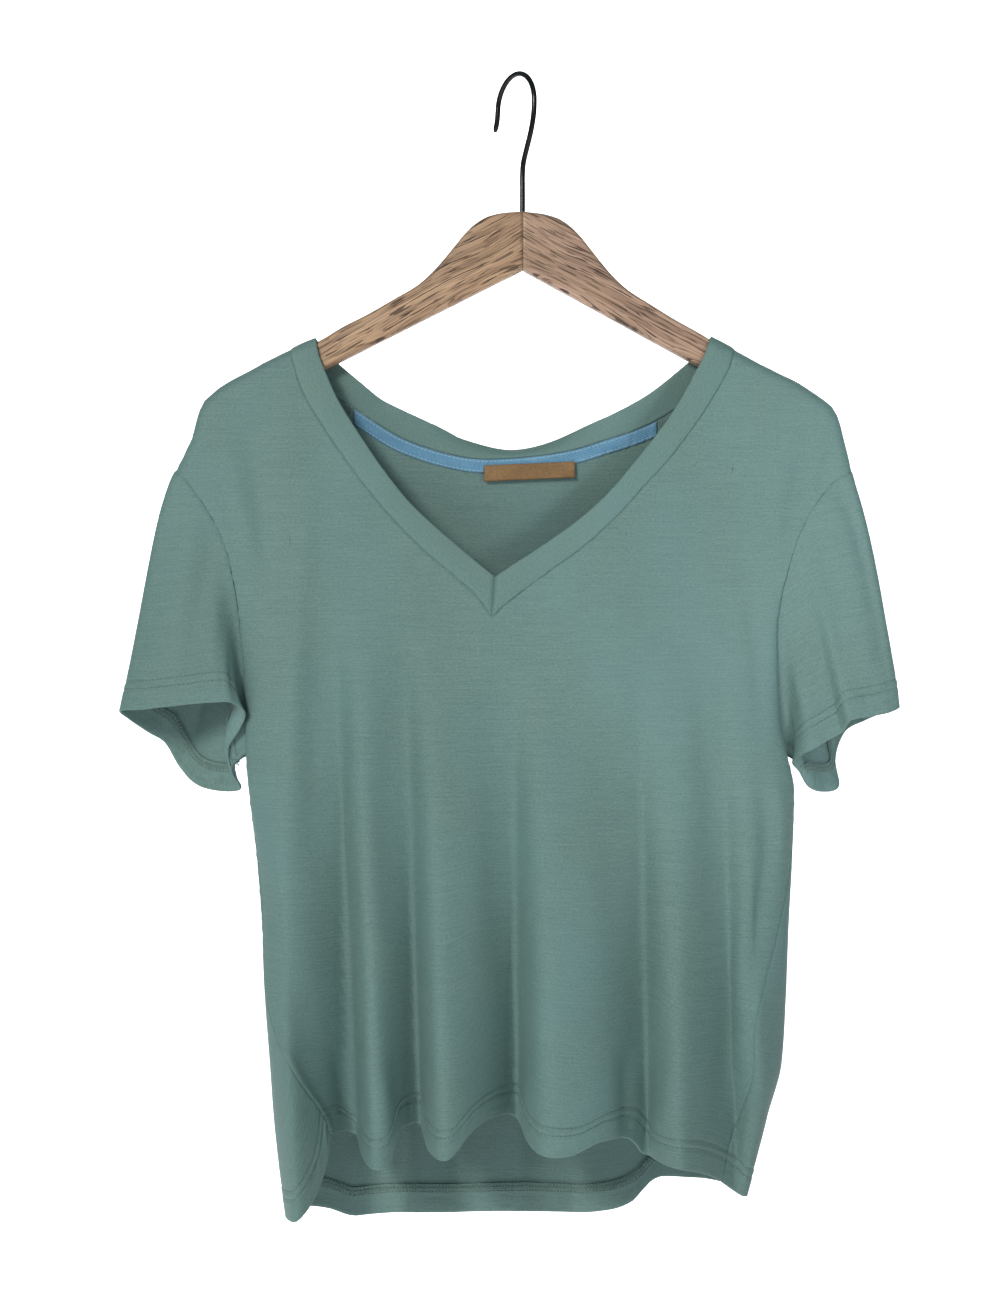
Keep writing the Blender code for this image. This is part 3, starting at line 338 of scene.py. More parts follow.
def curve_through(points, samples):
    """Points at even lengths along a Catmull-Rom curve through the given ones."""
    p = np.asarray(points, dtype=float)
    p = np.vstack((2 * p[0] - p[1], p, 2 * p[-1] - p[-2]))
    fine = []
    for a, b, c, d in zip(p[:-3], p[1:-2], p[2:-1], p[3:]):
        for u in np.linspace(0, 1, CURVE_STEPS, endpoint=False):
            fine.append(0.5 * (2 * b + (c - a) * u + (2 * a - 5 * b + 4 * c - d) * u * u
                               + (3 * b - a - 3 * c + d) * u**3))
    fine.append(p[-2])
    return even(np.array(fine), samples)


def lengths(line):
    """Length along a line, or along each line of a grid, up to each of its points."""
    steps = np.linalg.norm(np.diff(line, axis=-2), axis=-1)
    return np.concatenate((np.zeros(steps.shape[:-1] + (1,)), np.cumsum(steps, axis=-1)), axis=-1)


def points_at(line, length, at):
    """A line's points at the given lengths."""
    return np.stack([np.interp(at, length, line[:, k]) for k in range(line.shape[1])], axis=-1)


def even(line, samples):
    """A line read again at even lengths, or at the given fractions of its length."""
    length = lengths(line)
    at = np.linspace(0, 1, samples) if np.isscalar(samples) else np.asarray(samples)
    return points_at(line, length, at * length[-1])


def from_line(x, z, line):
    """Distance from a line as seen from the front, and how far along it the nearest point is."""
    length = lengths(line)
    best = np.full(np.shape(x), 1e6)
    along = np.zeros(np.shape(x))
    for a, b, start, end in zip(line[:-1], line[1:], length[:-1], length[1:]):
        d = b - a
        t = np.clip(((x - a[0]) * d[0] + (z - a[1]) * d[1]) / (d @ d), 0, 1)
        away = np.hypot(x - a[0] - t * d[0], z - a[1] - t * d[1])
        nearer = away < best
        best = np.where(nearer, away, best)
        along = np.where(nearer, start + t * (end - start), along)
    return best, along / length[-1]


SHOULDER_LINES = (curve_through(SHOULDER_LEFT, 60), curve_through(SHOULDER_RIGHT, 60))
SHOULDER_LONG = [np.vstack((line[0] - (line[3] - line[0]) * 3.0, line)) for line in SHOULDER_LINES]
BACK_NECK = curve_through(SEAM_BACK, 240)


def over_arm(x, z):
    """0 on the shoulder seam, 1 where the cloth hangs clear of the bend over the hanger."""
    away = np.minimum(*[from_line(x, z, line)[0] for line in SHOULDER_LONG])
    return np.sqrt(1 - (1 - np.clip(away / OVER_ARM, 0, 1)) ** 2)


def folds(x, z, table):
    """How far the soft folds push the cloth out at a place. Each fold has its own slope on either side."""
    total = np.zeros(np.shape(x))
    for x_top, x_hem, left_width, right_width, out, starts in table:
        down = np.clip((starts - z) / (starts - FOLDS_FULL), 0.0, 1.1)
        away = x - (x_top + (x_hem - x_top) * down)
        width = np.where(away < 0, left_width, right_width)
        total = total + out * down ** FOLD_GROWTH * np.exp(-np.abs(away / width) ** FOLD_POINT)
    limit = np.where(total < 0, VALLEY_DEPTH, RIDGE_HEIGHT)
    return limit * np.tanh(total / limit)


def ring_shape(z):
    """The named columns of the body's outline at a height."""
    return {name: smooth(BODY_ROWS, z, i) for i, name in enumerate(BODY_COLUMNS) if i}


def ring_point(angle, z):
    """Place across and depth on the body's ring: 180 degrees is left, 270 the front, 360 right."""
    angle, z = np.broadcast_arrays(np.asarray(angle, float), np.asarray(z, float))
    shape = ring_shape(z)
    c, s = np.cos(np.radians(angle)), np.sin(np.radians(angle))
    across = np.sign(c) * np.abs(c) ** (2 / ROUND_POWER)
    full = np.abs(s) ** (2 / ROUND_POWER) * shape["round"]
    full = full + (1 - np.abs(across) ** FLAT_POWER) * (1 - shape["round"])
    x = (shape["left"] + shape["right"]) / 2 + across * (shape["right"] - shape["left"]) / 2
    front = s < 0
    edge = np.where(front, shape["edge_front"], shape["edge_back"])
    mid = np.where(front, shape["mid_front"], shape["mid_back"])
    wave = np.where(front, folds(x, z, FRONT_FOLDS), folds(x, z, BACK_FOLDS))
    depth = edge + (mid - edge + wave) * full
    return x, np.where(front, -depth, depth)


def body_point(angle, z):
    """A point of the body, whose ring is drawn together where it bends over the hanger."""
    x, y = ring_point(angle, z)
    return np.stack((x, y * over_arm(x, z), z + 0 * x), axis=-1)


def turn_of(across):
    """Degrees round the ring of places given from -1 at its left to 1 at its right."""
    return np.degrees(np.arccos(np.sign(across) * np.abs(across) ** (ROUND_POWER / 2)))


def angle_of(x, z, side):
    """The ring angle of a place on the front or the back."""
    shape = ring_shape(z)
    across = (x - (shape["left"] + shape["right"]) / 2) / ((shape["right"] - shape["left"]) / 2)
    turn = turn_of(np.clip(across, -1, 1))
    return 360 - turn if side == FRONT else turn


def skin(line, side):
    """Places seen from the front, laid on the front or the back of the body."""
    return body_point(angle_of(line[:, 0], line[:, 1], side), line[:, 1])


def column_angle(fraction, z, side):
    """Ring angle of a column at a height: 0 on the left side seam, 1 on the right one."""
    left = 180 + smooth(SEAM_ROWS, z, 1)
    right = 360 - smooth(SEAM_ROWS, z, 2)
    if side == FRONT:
        return left + (right - left) * fraction
    return left - (left - (right - 360)) * fraction


def edge_angle(z, side, column):
    """Ring angle of a panel's side: the ring's own edge at the armhole, then the side seam."""
    swing = np.where(z > UNDERARM, 0.0, smooth(SEAM_ROWS, z, 1 if column == 0 else 2))
    if column == 0:
        return (180.01 if side == FRONT else 180.0) + swing
    return (359.99 if side == FRONT else 0.0) - swing


def back_hem(x):
    """Height of the back's hem, lifted by its folds."""
    return smooth(BACK_HEM, x) - HEM_LIFT_BACK * folds(x, np.full(np.shape(x), FOLDS_FULL), BACK_FOLDS)


def top_points(side):
    """Places seen from the front where the columns of a panel start, from left to right."""
    halves = []
    for line in SHOULDER_LINES:
        close = np.array(SIDE_COLUMNS) / lengths(line)[-1]
        at = np.concatenate((close, np.linspace(close[-1], 1, SHOULDER_COLUMNS_EVEN + 1)[1:]))
        halves.append(even(line, 1 - at))
    if side == FRONT:
        neck = np.vstack((neck_line(SEAM_FRONT_LEFT, False)[::-1], neck_line(SEAM_FRONT_RIGHT, False)[1:]))
    else:
        neck = neck_line(SEAM_BACK, True)
    neck = clear_of_band(neck, halves[0][-2] - halves[0][-1], halves[1][-2] - halves[1][-1])
    return np.vstack((halves[0][:-1], neck, halves[1][::-1][1:]))


def neck_line(points, both_ends):
    """A neckline read where both the panel and the band have their rows."""
    line = curve_through(points, 200)
    return even(line, neck_fractions(line, both_ends))


def neck_fractions(line, both_ends):
    """Fractions of a neckline's length, close together where it bends over the hanger."""
    close = np.array(BEND_ROWS) / lengths(line)[-1]
    if both_ends:
        middle = np.linspace(close[-1], 1 - close[-1], NECK_BACK_ROWS)[1:-1]
        return np.concatenate((close, middle, 1 - close[::-1]))
    return np.concatenate((np.linspace(0, 1 - close[-1], NECK_FRONT_ROWS)[:-1], 1 - close[::-1]))


def clear_of_band(neck, down_left, down_right):
    """Move a neckline off the band by half the gap, and its ends along the shoulder seams."""
    along = unit(np.gradient(neck, axis=0))
    moved = neck + SEAM_GAP / 2 * np.stack((along[:, 1], -along[:, 0]), axis=1)
    moved[0] = neck[0] + SEAM_GAP / 2 * unit(down_left)
    moved[-1] = neck[-1] + SEAM_GAP / 2 * unit(down_right)
    return moved


def ring_angles(side):
    """Ring angles from the left to the right of a panel, at the back also past its side seams."""
    turn = turn_of(np.linspace(-1, 1, RING_SAMPLES))
    if side == FRONT:
        return 360 - np.clip(turn, 0.01, 179.99)
    past = np.array((0.5, 2.0, 4.0, 7.0, 11.0, 17.0, 25.0, 36.0, 48.0, 60.0))
    return np.concatenate((180 + past[::-1], turn, -past))


def arc_table(side):
    """Lengths round the ring from its middle, by height and by ring angle."""
    angles = ring_angles(side)
    heights = np.arange(BODY_ROWS[0][0], BODY_ROWS[-1][0] - 2 * ARC_STEP, -ARC_STEP)
    arc = lengths(np.stack(ring_point(angles[None, :], heights[:, None]), axis=-1))
    middle = np.argmin(np.abs(angles - (270 if side == FRONT else 90)))
    return angles, heights, arc - arc[:, middle:middle + 1]


def arc_rows(table, z):
    """The lengths round the ring at any heights."""
    heights, arc = table[1:]
    place = np.clip((heights[0] - z) / ARC_STEP, 0, len(heights) - 1.001)
    row = place.astype(int)
    part = (place - row)[..., None]
    return arc[row] * (1 - part) + arc[row + 1] * part


def arc_at(table, angle, z):
    """Length round the ring of places given by angle and height."""
    angles = table[0]
    sign = 1 if angles[-1] > angles[0] else -1
    rows = arc_rows(table, z)
    return np.array([np.interp(sign * a, sign * angles, line) for a, line in zip(angle, rows)])


def angle_at(table, s, z):
    """Ring angle of places given by length round the ring and height."""
    angles = table[0]
    line = arc_rows(table, z)
    k = np.clip((line <= s[..., None]).sum(axis=-1) - 1, 0, len(angles) - 2)
    low = np.take_along_axis(line, k[..., None], -1)[..., 0]
    high = np.take_along_axis(line, (k + 1)[..., None], -1)[..., 0]
    u = np.clip((s - low) / np.maximum(high - low, 1e-6), 0, 1)
    return angles[k] * (1 - u) + angles[k + 1] * u


def hem_line(side):
    """Angles and heights along a panel's hem. The back's climbs to the front's at the side seams."""
    fraction = np.linspace(0, 1, HEM_SAMPLES)
    z = np.full(HEM_SAMPLES, HEM_GUESS)
    for _ in range(HEM_ROUNDS):
        angle = column_angle(fraction, z, side)
        x = body_point(angle, z)[:, 0]
        if side == FRONT:
            target = smooth(FRONT_HEM, x)
        else:
            left, right = column_angle(0.0, z, side), column_angle(1.0, z, side)
            wrap = np.where(angle > 90, (angle - 180) / (left - 180), -angle / -right)
            seam = np.where(angle > 90, SEAM_HEMS[0], SEAM_HEMS[1])
            target = back_hem(x) + (seam - back_hem(x)) * np.clip(wrap, 0, 1) ** WRAP_POWER
        z = 0.5 * z + 0.5 * target
    return column_angle(fraction, z, side), z


def graded(length, count):
    """Fractions of a length that begin and end with the close side columns."""
    close = np.array(SIDE_COLUMNS)
    inner = np.linspace(close[-1], length - close[-1], count - 2 * len(close) + 2)[1:-1]
    return np.concatenate((close, inner, length - close[::-1])) / length


def panel_grid(side):
    """Fine grid of a panel, column by column: points, place on the flat cloth, distances to its edges."""
    table = arc_table(side)
    top = top_points(side)
    top_z = top[:, 1:2]
    top_s = arc_at(table, angle_of(top[:, 0], top[:, 1], side), top[:, 1])
    hem_angle, hem_z = hem_line(side)
    hem = np.stack((arc_at(table, hem_angle, hem_z), hem_z), axis=1)
    hem = even(hem, graded(lengths(hem)[-1], len(top)))
    first = top_z - BEND_ROWS[-1]
    zone = hem[:, 1:2] + HEM_ZONE
    body = first + (zone - first) * np.linspace(0, 1, BODY_ROWS_EVEN + 1)[1:]
    last = zone - HEM_ZONE * np.linspace(0, 1, HEM_ROWS + 1)[1:]
    z = np.concatenate((top_z - np.array(BEND_ROWS), body, last), axis=1)
    down = (top_z - z) / (top_z - hem[:, 1:2])
    s = top_s[:, None] + (hem[:, 0:1] - top_s[:, None]) * ease(down * 1.15)
    across_top, across_hem = lengths(top), lengths(hem)
    underarm = int(np.argmin(np.abs(z[0] - UNDERARM)))
    angles, from_edge = {}, {}
    base_s, base_z = s.copy(), z.copy()
    for column in (0, -1):
        a = np.abs(across_top - across_top[column])[:, None]
        b = np.abs(across_hem - across_hem[column])[:, None]
        from_edge[column] = (1 - down) * a + down * b
        line = base_z[column]
        line = np.interp(line[::-1], line[[-1, underarm, 0]], (line[-1], UNDERARM, line[0]))[::-1]
        angles[column] = edge_angle(line, side, column)
        across = np.abs(top_s - top_s[column])[:, None]
        near = (1 - down) * (across + ease((a - SHOULDER_START) / SHOULDER_SPAN) * (a - across)) + down * b
        reach, hem_reach = EDGE_REACH[side]
        weight = ease(1 - near / (reach + (hem_reach - reach) * down ** 3))
        s = s + weight * (arc_at(table, angles[column], line) - base_s[column])[None, :]
        z = z + weight * (line - base_z[column])[None, :]
    angle = angle_at(table, s, z)
    for column in (0, -1):
        angle[column] = angles[column]
    return {"points": body_point(angle, z), "s": s, "z": z, "underarm": underarm, "from_top": top_z - z,
            "from_side": np.minimum(from_edge[0], from_edge[-1])}


def normals(grid, closed=False):
    """Unit normals of a grid, whose first axis runs along the hem and second one down."""
    if closed:
        along = np.roll(grid, -1, axis=0) - np.roll(grid, 1, axis=0)
    else:
        along = np.gradient(grid, axis=0)
    n = np.cross(along, np.gradient(grid, axis=1))
    return n / np.maximum(np.linalg.norm(n, axis=-1, keepdims=True), 1e-9)


def creases(x, z, table):
    """How far the placed creases push the cloth out. Each fades to its sides and its ends."""
    total = np.zeros(x.shape)
    for half_width, out, *points in table:
        away, along = from_line(x, z, curve_through(points, 14))
        fade = np.sin(np.pi * np.clip(along, 0.02, 0.98)) ** 0.7
        total = total + out * np.exp(-(away / half_width) ** 2) * fade
    return total


def sleeve_creases(turn, length, table, width):
    """Creases of a sleeve, placed by turn round it and length down it."""
    total = np.zeros(length.shape)
    for half_width, out, turn_a, from_a, turn_b, from_b in table:
        t = np.clip((length - from_a) / (from_b - from_a), 0, 1)
        centre = turn_a + (turn_b - turn_a) * t
        gap = (turn - centre + 0.5) % 1.0 - 0.5
        fade = ease((length - from_a) / 25 + 0.5) * ease((from_b - length) / 25 + 0.5)
        total = total + out * fade * np.exp(-(gap * width / half_width) ** 2)
    return total


def groove(distance, depth, half_width):
    """The cloth dips into a seam."""
    return -depth * np.exp(-(distance / half_width) ** 2)


def waviness(along, distance, height, wavelength, reach, seed):
    """Small uneven puckers square to a seam."""
    rng = np.random.default_rng(seed)
    total = np.zeros(np.shape(along))
    for scale in (1.0, 1.37, 0.71):
        phase = rng.uniform(0, 2 * np.pi)
        total = total + np.sin(2 * np.pi * along / (wavelength * scale) + phase)
    return height * total / WAVES_SPREAD * np.exp(-(distance / reach) ** 2)


def rough(x, z, seed, scale, height, count=24):
    """Very soft unevenness of hanging cloth, longer up and down than across."""
    rng = np.random.default_rng(seed)
    total = np.zeros(np.shape(x))
    for _ in range(count):
        turn = rng.normal(0.0, 0.35)
        wave = scale * rng.uniform(0.6, 1.8)
        phase = rng.uniform(0, 2 * np.pi)
        across = x * np.cos(turn) + z * np.sin(turn) * 0.35
        total = total + np.sin(2 * np.pi * across / wave + phase + 0.8 * np.sin(z / (1.7 * wave) + phase))
    return height * total / np.sqrt(count)


def hem_relief(along, to_hem, needle, step, pucker, wavelength, seed):
    """Needle rows that dent a hem, the step down to the thinner cloth above them, and its puckers."""
    out = waviness(along, to_hem - HEM_MIDDLE, pucker, wavelength, 8.0, seed)
    for row in HEM_STITCHES:
        out = out + groove(to_hem - row, needle, 1.1)
    return out + step * ease((HEM_STITCHES[1] + 1 - to_hem) / 2.5)


def put(name, data):
    """A new object in the scene."""
    obj = bpy.data.objects.new(name, data)
    bpy.context.scene.collection.objects.link(obj)
    return obj


def put_mesh(name, points, faces, material):
    """A new smooth mesh object, from points in metres."""
    mesh = bpy.data.meshes.new(name)
    mesh.from_pydata(np.reshape(points, (-1, 3)).tolist(), [], faces)
    mesh.materials.append(material)
    mesh.shade_smooth()
    return put(name, mesh)


def grid_object(name, grid, u, v, material, wall, closed=False):
    """A cloth piece from a grid, with its flat coordinates in metres as UVs, thickened to a shell."""
    columns, rows = grid.shape[:2]
    a, b = np.meshgrid(np.arange(columns if closed else columns - 1), np.arange(rows - 1), indexing="ij")
    k = (a + 1) % columns * rows + b
    faces = np.stack((a * rows + b, a * rows + b + 1, k + 1, k), axis=-1).reshape(-1, 4)
    obj = put_mesh(name, (grid + OFFSET) * MM, faces.tolist(), material)
    flat = np.stack(np.broadcast_arrays(u, v), axis=-1) * MM
    if closed:
        flat = np.concatenate((flat, 2 * flat[-1:] - flat[-2:-1]), axis=0)
    corners = np.stack((flat[a, b], flat[a, b + 1], flat[a + 1, b + 1], flat[a + 1, b]), axis=2).reshape(-1)
    layer = obj.data.uv_layers.new(name="cloth")
    layer.data.foreach_set("uv", corners.astype(np.float32))
    if wall:
        solid = obj.modifiers.new("wall", "SOLIDIFY")
        solid.thickness = wall * MM
        solid.offset = 0.0
    return obj


def one_layer_in(grid, n, up):
    """Points one layer inside a grid, at a length up from its last row."""
    result = []
    for line, facing in zip(grid[:, ::-1], n[:, ::-1]):
        length = lengths(line)
        result.append(points_at(line, length, up) + points_at(facing, length, up) * LAYER_STEP)
    return np.array(result)


def with_more_rows(values, count):
    """Cloth coordinates carried on over rows that were added at the hem."""
    extra = values[:, -1:] - (values[:, -2:-1] - values[:, -1:]) * np.arange(1, count + 1)
    return np.concatenate((values, extra), axis=1)


def hemmed_cloth(name, grid, u, v, inward, closed=False):
    """A piece of jersey with the bend at its hem's edge and the layer that is turned up inside."""
    n = normals(grid, closed) * inward
    edge, facing = grid[:, -1], n[:, -1]
    down = unit(edge - grid[:, -3])
    rows = [edge + FOLD_RADIUS * (facing * (1 - math.cos(t)) + down * math.sin(t)) for t in FOLD_TURNS]
    rows += [one_layer_in(grid, n, up) for up in np.linspace(0.0, HEM_DEPTH, 12)]
    full = np.concatenate((grid, np.stack(rows, axis=1)), axis=1)
    u, v = with_more_rows(u, len(rows)), with_more_rows(v, len(rows))
    return grid_object(name, full, u, v, JERSEY, WALL, closed)


def dress_panel(name, side, table):
    """The front or the back with its creases, seam grooves and hem. Returns its grid too."""
    data = panel_grid(side)
    raw, s, z, from_top, from_side = (data[key] for key in ("points", "s", "z", "from_top", "from_side"))
    n = normals(raw) * side
    x = raw[..., 0]
    out = creases(x, z, table) * ease(from_top / 10) * ease(from_side / 9)
    calm = ease(from_top / 40) * ease(from_side / 12)
    out = out + rough(s, z, seed=5 + side, scale=60.0, height=0.3) * calm
    out = out + groove(from_top, 0.45, 1.3) + groove(from_side, 0.55, 1.5)
    out = out + waviness(z, from_side, 0.28, wavelength=9.0, reach=5.0, seed=11)
    out = out + waviness(s, from_top, 0.22, wavelength=8.0, reach=4.0, seed=17 + side)
    if side == BACK:
        under_tape = (x > TAPE_LEFT - 8) & (x < TAPE_RIGHT + 8)
        out = np.where(under_tape, out * ease((from_top - 13) / 8), out)
    to_hem = lengths(raw[:, ::-1])[:, ::-1]
    out = out + hem_relief(s, to_hem, needle=0.6, step=0.3, pucker=0.26, wavelength=7.5,
                           seed=23 + side)
    grid = raw + n * out[..., None]
    course = z + ease(1 - to_hem / COURSE_REACH) * (z[:, -1].mean() + to_hem - z)
    obj = hemmed_cloth(name, grid, s, course, -side)
    return obj, {"raw": raw, "grid": grid, "normal": n, "to_hem": to_hem, "underarm": data["underarm"],
                 "closed": False}


def dress_sleeve(name, front, back, cuff, bulge, outward, table):
    """A sleeve that leaves the armhole in line with the panels and ends in its turned-up cuff."""
    count = front["underarm"] + 1
    loop, beside = (np.vstack((front["raw"][k][:count], back["raw"][k][1:count - 1][::-1]))
                    for k in ((0, 6) if outward < 0 else (-1, -7)))
    away = loop - beside
    along = unit(np.roll(loop, -1, axis=0) - np.roll(loop, 1, axis=0))
    away = unit(away - along * np.sum(away * along, axis=-1, keepdims=True))
    down = lengths(loop[:count])
    up = lengths(np.vstack((loop[count - 1:], loop[:1])))
    wrap = np.concatenate((0.5 * down / down[-1], 0.5 + 0.5 * up[1:] / up[-1]))
    turn = np.linspace(0, 1, SLEEVE_COLUMNS, endpoint=False)
    loop, away = (points_at(np.vstack((p, p[:1])), wrap, turn) for p in (loop, away))
    low = ease((VALLEY_REACH - np.abs(turn - 0.5)) / (VALLEY_REACH - VALLEY_FULL))[:, None]
    away = unit(unit(away) + low * VALLEY_TURN * np.array((outward, 0.0, -0.3)))
    start = loop + low * 0.3 * np.array((outward, 0.0, 0.0))
    chord = points_round(cuff, turn) - start
    belly = points_round(bulge, turn)
    pull = SLEEVE_PULL * np.linalg.norm(chord, axis=1, keepdims=True)
    rings = []
    for t in np.concatenate((SLEEVE_START_ROWS, np.linspace(0.045, 0.86, 62), np.linspace(0.87, 1, 26))):
        rings.append(start + chord * t * t * (3 - 2 * t) + away * pull * t * (1 - t) ** 2
                     + chord * t * t * (t - 1) + belly * 4 * t * t * (1 - t))
    grid = np.stack(rings, axis=1)
    n = normals(grid, closed=True)
    if (n * (grid - grid.mean(axis=0))).sum(axis=-1).mean() < 0:
        n = -n
    length = lengths(grid)
    to_hem = length[:, -1:] - length
    round_length = lengths(np.vstack((grid[:, -1], grid[:1, -1])))[:-1]
    u = np.broadcast_to(round_length[:, None], length.shape)
    out = sleeve_creases(turn[:, None], length, table, round_length[-1])
    calm = ease(length / 30) * ease(to_hem / 20)
    out = out + rough(u, length, seed=31 + outward, scale=45.0, height=0.35) * calm
    out = out + groove(length, 0.45, 1.4)
    out = out + waviness(u, length, 0.22, wavelength=8.0, reach=4.5, seed=41 + outward)
    out = out + hem_relief(u, to_hem, needle=0.4, step=0.28, pucker=0.18, wavelength=7.0,
                           seed=47 + outward)
    grid = grid + n * out[..., None]
    inward = 1 if (normals(grid, True) * n).sum(axis=-1).mean() < 0 else -1
    obj = hemmed_cloth(name, grid, u, to_hem, inward, True)
    return obj, {"grid": grid, "normal": n, "to_hem": to_hem, "closed": True}


def band_lines(outer, inner, side):
    """Seam and free edge of one stretch of the neckband, laid on the body."""
    outer, inner = curve_through(outer, 400), curve_through(inner, 400)
    at = neck_fractions(outer, side == BACK)
    outer, inner = even(outer, at), even(inner, at)
    seen = np.linalg.norm(outer - inner, axis=1)
    lean = np.sqrt(np.maximum(BAND_WIDTH ** 2 - seen ** 2, 0.0)) if side == BACK else np.zeros(len(at))
    return skin(outer, side), skin(inner, side), lean


def dress_neckband():
    """The folded strip round the neck: outside, fold and inside of one closed section."""
    left = band_lines(SEAM_FRONT_LEFT, EDGE_FRONT_LEFT, FRONT)
    back = band_lines(SEAM_BACK, EDGE_BACK, BACK)
    right = band_lines(SEAM_FRONT_RIGHT, EDGE_FRONT_RIGHT, FRONT)
    seam, edge, lean = (np.concatenate((a, b[1:-1], c[::-1])) for a, b, c in zip(left, back, right))
    along = lengths(seam)
    rows = np.linspace(0, 1, BAND_ROWS)
    middle = []
    for k in rows:
        row = seam + (edge - seam) * k
        row[:, 1] += 0.5 * lean * k ** 2
        middle.append(row)
    middle = np.stack(middle, axis=1)
    n = normals(middle)
    if n[len(left[0]) // 2, BAND_ROWS // 2, 1] > 0:
        n = -n
    near = rows[None, :] * BAND_WIDTH
    end = np.minimum(along, along[-1] - along)[:, None]
    n = unit(n + ease(1 - end / BAND_TURN)[..., None] * (np.array((0.0, -1.0, 0.0)) - n))
    puff = 0.35 * np.sin(np.pi * rows)[None, :]
    puff = puff + waviness(along[:, None], near, 0.20, wavelength=9.0, reach=6.0, seed=61)
    puff = puff + waviness(along[:, None], near - BAND_WIDTH, 0.12, wavelength=14.0, reach=6.0, seed=62)
    puff = puff * ease(0.25 + end / 8) + groove(end, 0.10, 0.7) + groove(near, 0.5, 1.3)
    outer = middle + n * (BAND_HALF + puff)[..., None]
    inner = middle - n * (BAND_HALF - 0.3 * groove(near, 0.5, 1.5))[..., None]
    tip = unit(middle[:, -1] - middle[:, -2])
    centre, half_gap = (outer[:, -1] + inner[:, -1]) / 2, (outer[:, -1] - inner[:, -1]) / 2
    radius = np.linalg.norm(half_gap, axis=1, keepdims=True)
    bend = [centre + half_gap * math.cos(turn) + tip * radius * math.sin(turn) for turn in BEND_TURNS]
    section = np.concatenate((outer, np.stack(bend, axis=1), inner[:, ::-1]), axis=1)
    around = np.linspace(0, 2 * BAND_WIDTH, section.shape[1])
    obj = grid_object("neckband_cloth", section, along[:, None], around, BAND, 0.0)
    close_section(obj, section.shape[0], section.shape[1])
    return obj


def close_section(obj, columns, rows):
    """Close a strip's section along its open side and at its ends."""
    bm = bmesh.new()
    bm.from_mesh(obj.data)
    bm.verts.ensure_lookup_table()
    for i in range(columns - 1):
        a, b = i * rows, (i + 1) * rows
        bm.faces.new((bm.verts[a], bm.verts[b], bm.verts[b + rows - 1], bm.verts[a + rows - 1]))
    for start in (0, (columns - 1) * rows):
        bm.faces.new([bm.verts[start + k] for k in range(rows)])
    bmesh.ops.recalc_face_normals(bm, faces=bm.faces)
    for face in bm.faces:
        face.smooth = True
    bm.to_mesh(obj.data)
    bm.free()


def inside_back(x, down, layers):
    """Places on the inner side of the back panel, below its neck seam."""
    top = np.interp(x, BACK_NECK[:, 0], BACK_NECK[:, 1])
    point = skin(np.stack((x, top - down), axis=1), BACK)
    point[:, 1] -= layers
    return point


def dress_tape():
    """Twill tape over the back neck seam, a little puckered by its stitches. Returns its grid too."""
    x = np.linspace(TAPE_LEFT, TAPE_RIGHT, 180)
    top = np.interp(x, BACK_NECK[:, 0], BACK_NECK[:, 1])
    depth = TAPE_WIDTH * np.sqrt(1 + np.gradient(top, x) ** 2)
    along = lengths(np.stack((x, top), axis=1))
    rows = []
    fractions = np.linspace(0, 1, 10)
    for k in fractions:
        ripple = 0.22 * np.sin(2 * np.pi * along / 6.3 + 3 * k) + 0.15 * np.sin(2 * np.pi * along / 10.7)
        lift = TAPE_LIFT + 0.25 * math.sin(math.pi * k) + ripple * (0.4 + 0.6 * k)
        rows.append(inside_back(x, TAPE_DROP + depth * k, lift))
    grid = np.stack(rows, axis=1)
    return grid_object("neck_tape_cloth", grid, along[:, None], fractions * TAPE_WIDTH, TAPE, 0.7), grid


def dress_label():
    """A bare label whose ends are folded under."""
    left, right = LABEL_LEFT + 1.0, LABEL_RIGHT - 1.0
    bend = [(LABEL_BEND * math.sin(turn), LABEL_BEND * (1 - math.cos(turn))) for turn in BEND_TURNS]
    path = [(LABEL_LEFT + LABEL_FLAP, 0.0), (LABEL_LEFT + 4.0, 0.0), (left, 0.0)]
    path += [(left - across, out) for across, out in bend]
    path += [(x, 2 * LABEL_BEND) for x in np.linspace(left, right, 40)]
    path += [(right + across, out) for across, out in bend[::-1]]
    path += [(right, 0.0), (LABEL_RIGHT - 4.0, 0.0), (LABEL_RIGHT - LABEL_FLAP, 0.0)]
    down = np.linspace(0, 1, LABEL_ROWS)
    columns = []
    for x, out in path:
        top = LABEL_TOP + LABEL_TILT * (x - LABEL_LEFT)
        column = skin(np.stack((np.full(LABEL_ROWS, x), top - LABEL_WIDTH * down), axis=1), BACK)
        sag = 0.25 * math.sin((x - LABEL_LEFT) / 9.0) + 0.6 * down ** 2 * math.sin((x - LABEL_LEFT) / 21.0)
        column[:, 1] = column[:, 1].min() - LABEL_LIFT - out - 0.25 - sag * 0.5
        columns.append(column)
    across = np.array([x for x, _ in path])[:, None]
    return grid_object("neck_label_kraft", np.array(columns), across, down * LABEL_WIDTH, KRAFT, 0.6)


def hanger_section(top, bottom, half):
    """A rounded rectangle round the arm, in depth and height."""
    round_off = min(HANGER_EDGE, 0.45 * (top - bottom), 0.8 * half)
    y, z_top, z_bottom = half - round_off, top - round_off, bottom + round_off
    points = []
    corners = ((y, z_top, 0), (-y, z_top, 90), (-y, z_bottom, 180), (y, z_bottom, 270))
    for centre_y, centre_z, first in corners:
        for a in np.radians(np.linspace(first, first + 90, 8)):
            points.append((centre_y + round_off * math.cos(a), centre_z + round_off * math.sin(a)))
    return points


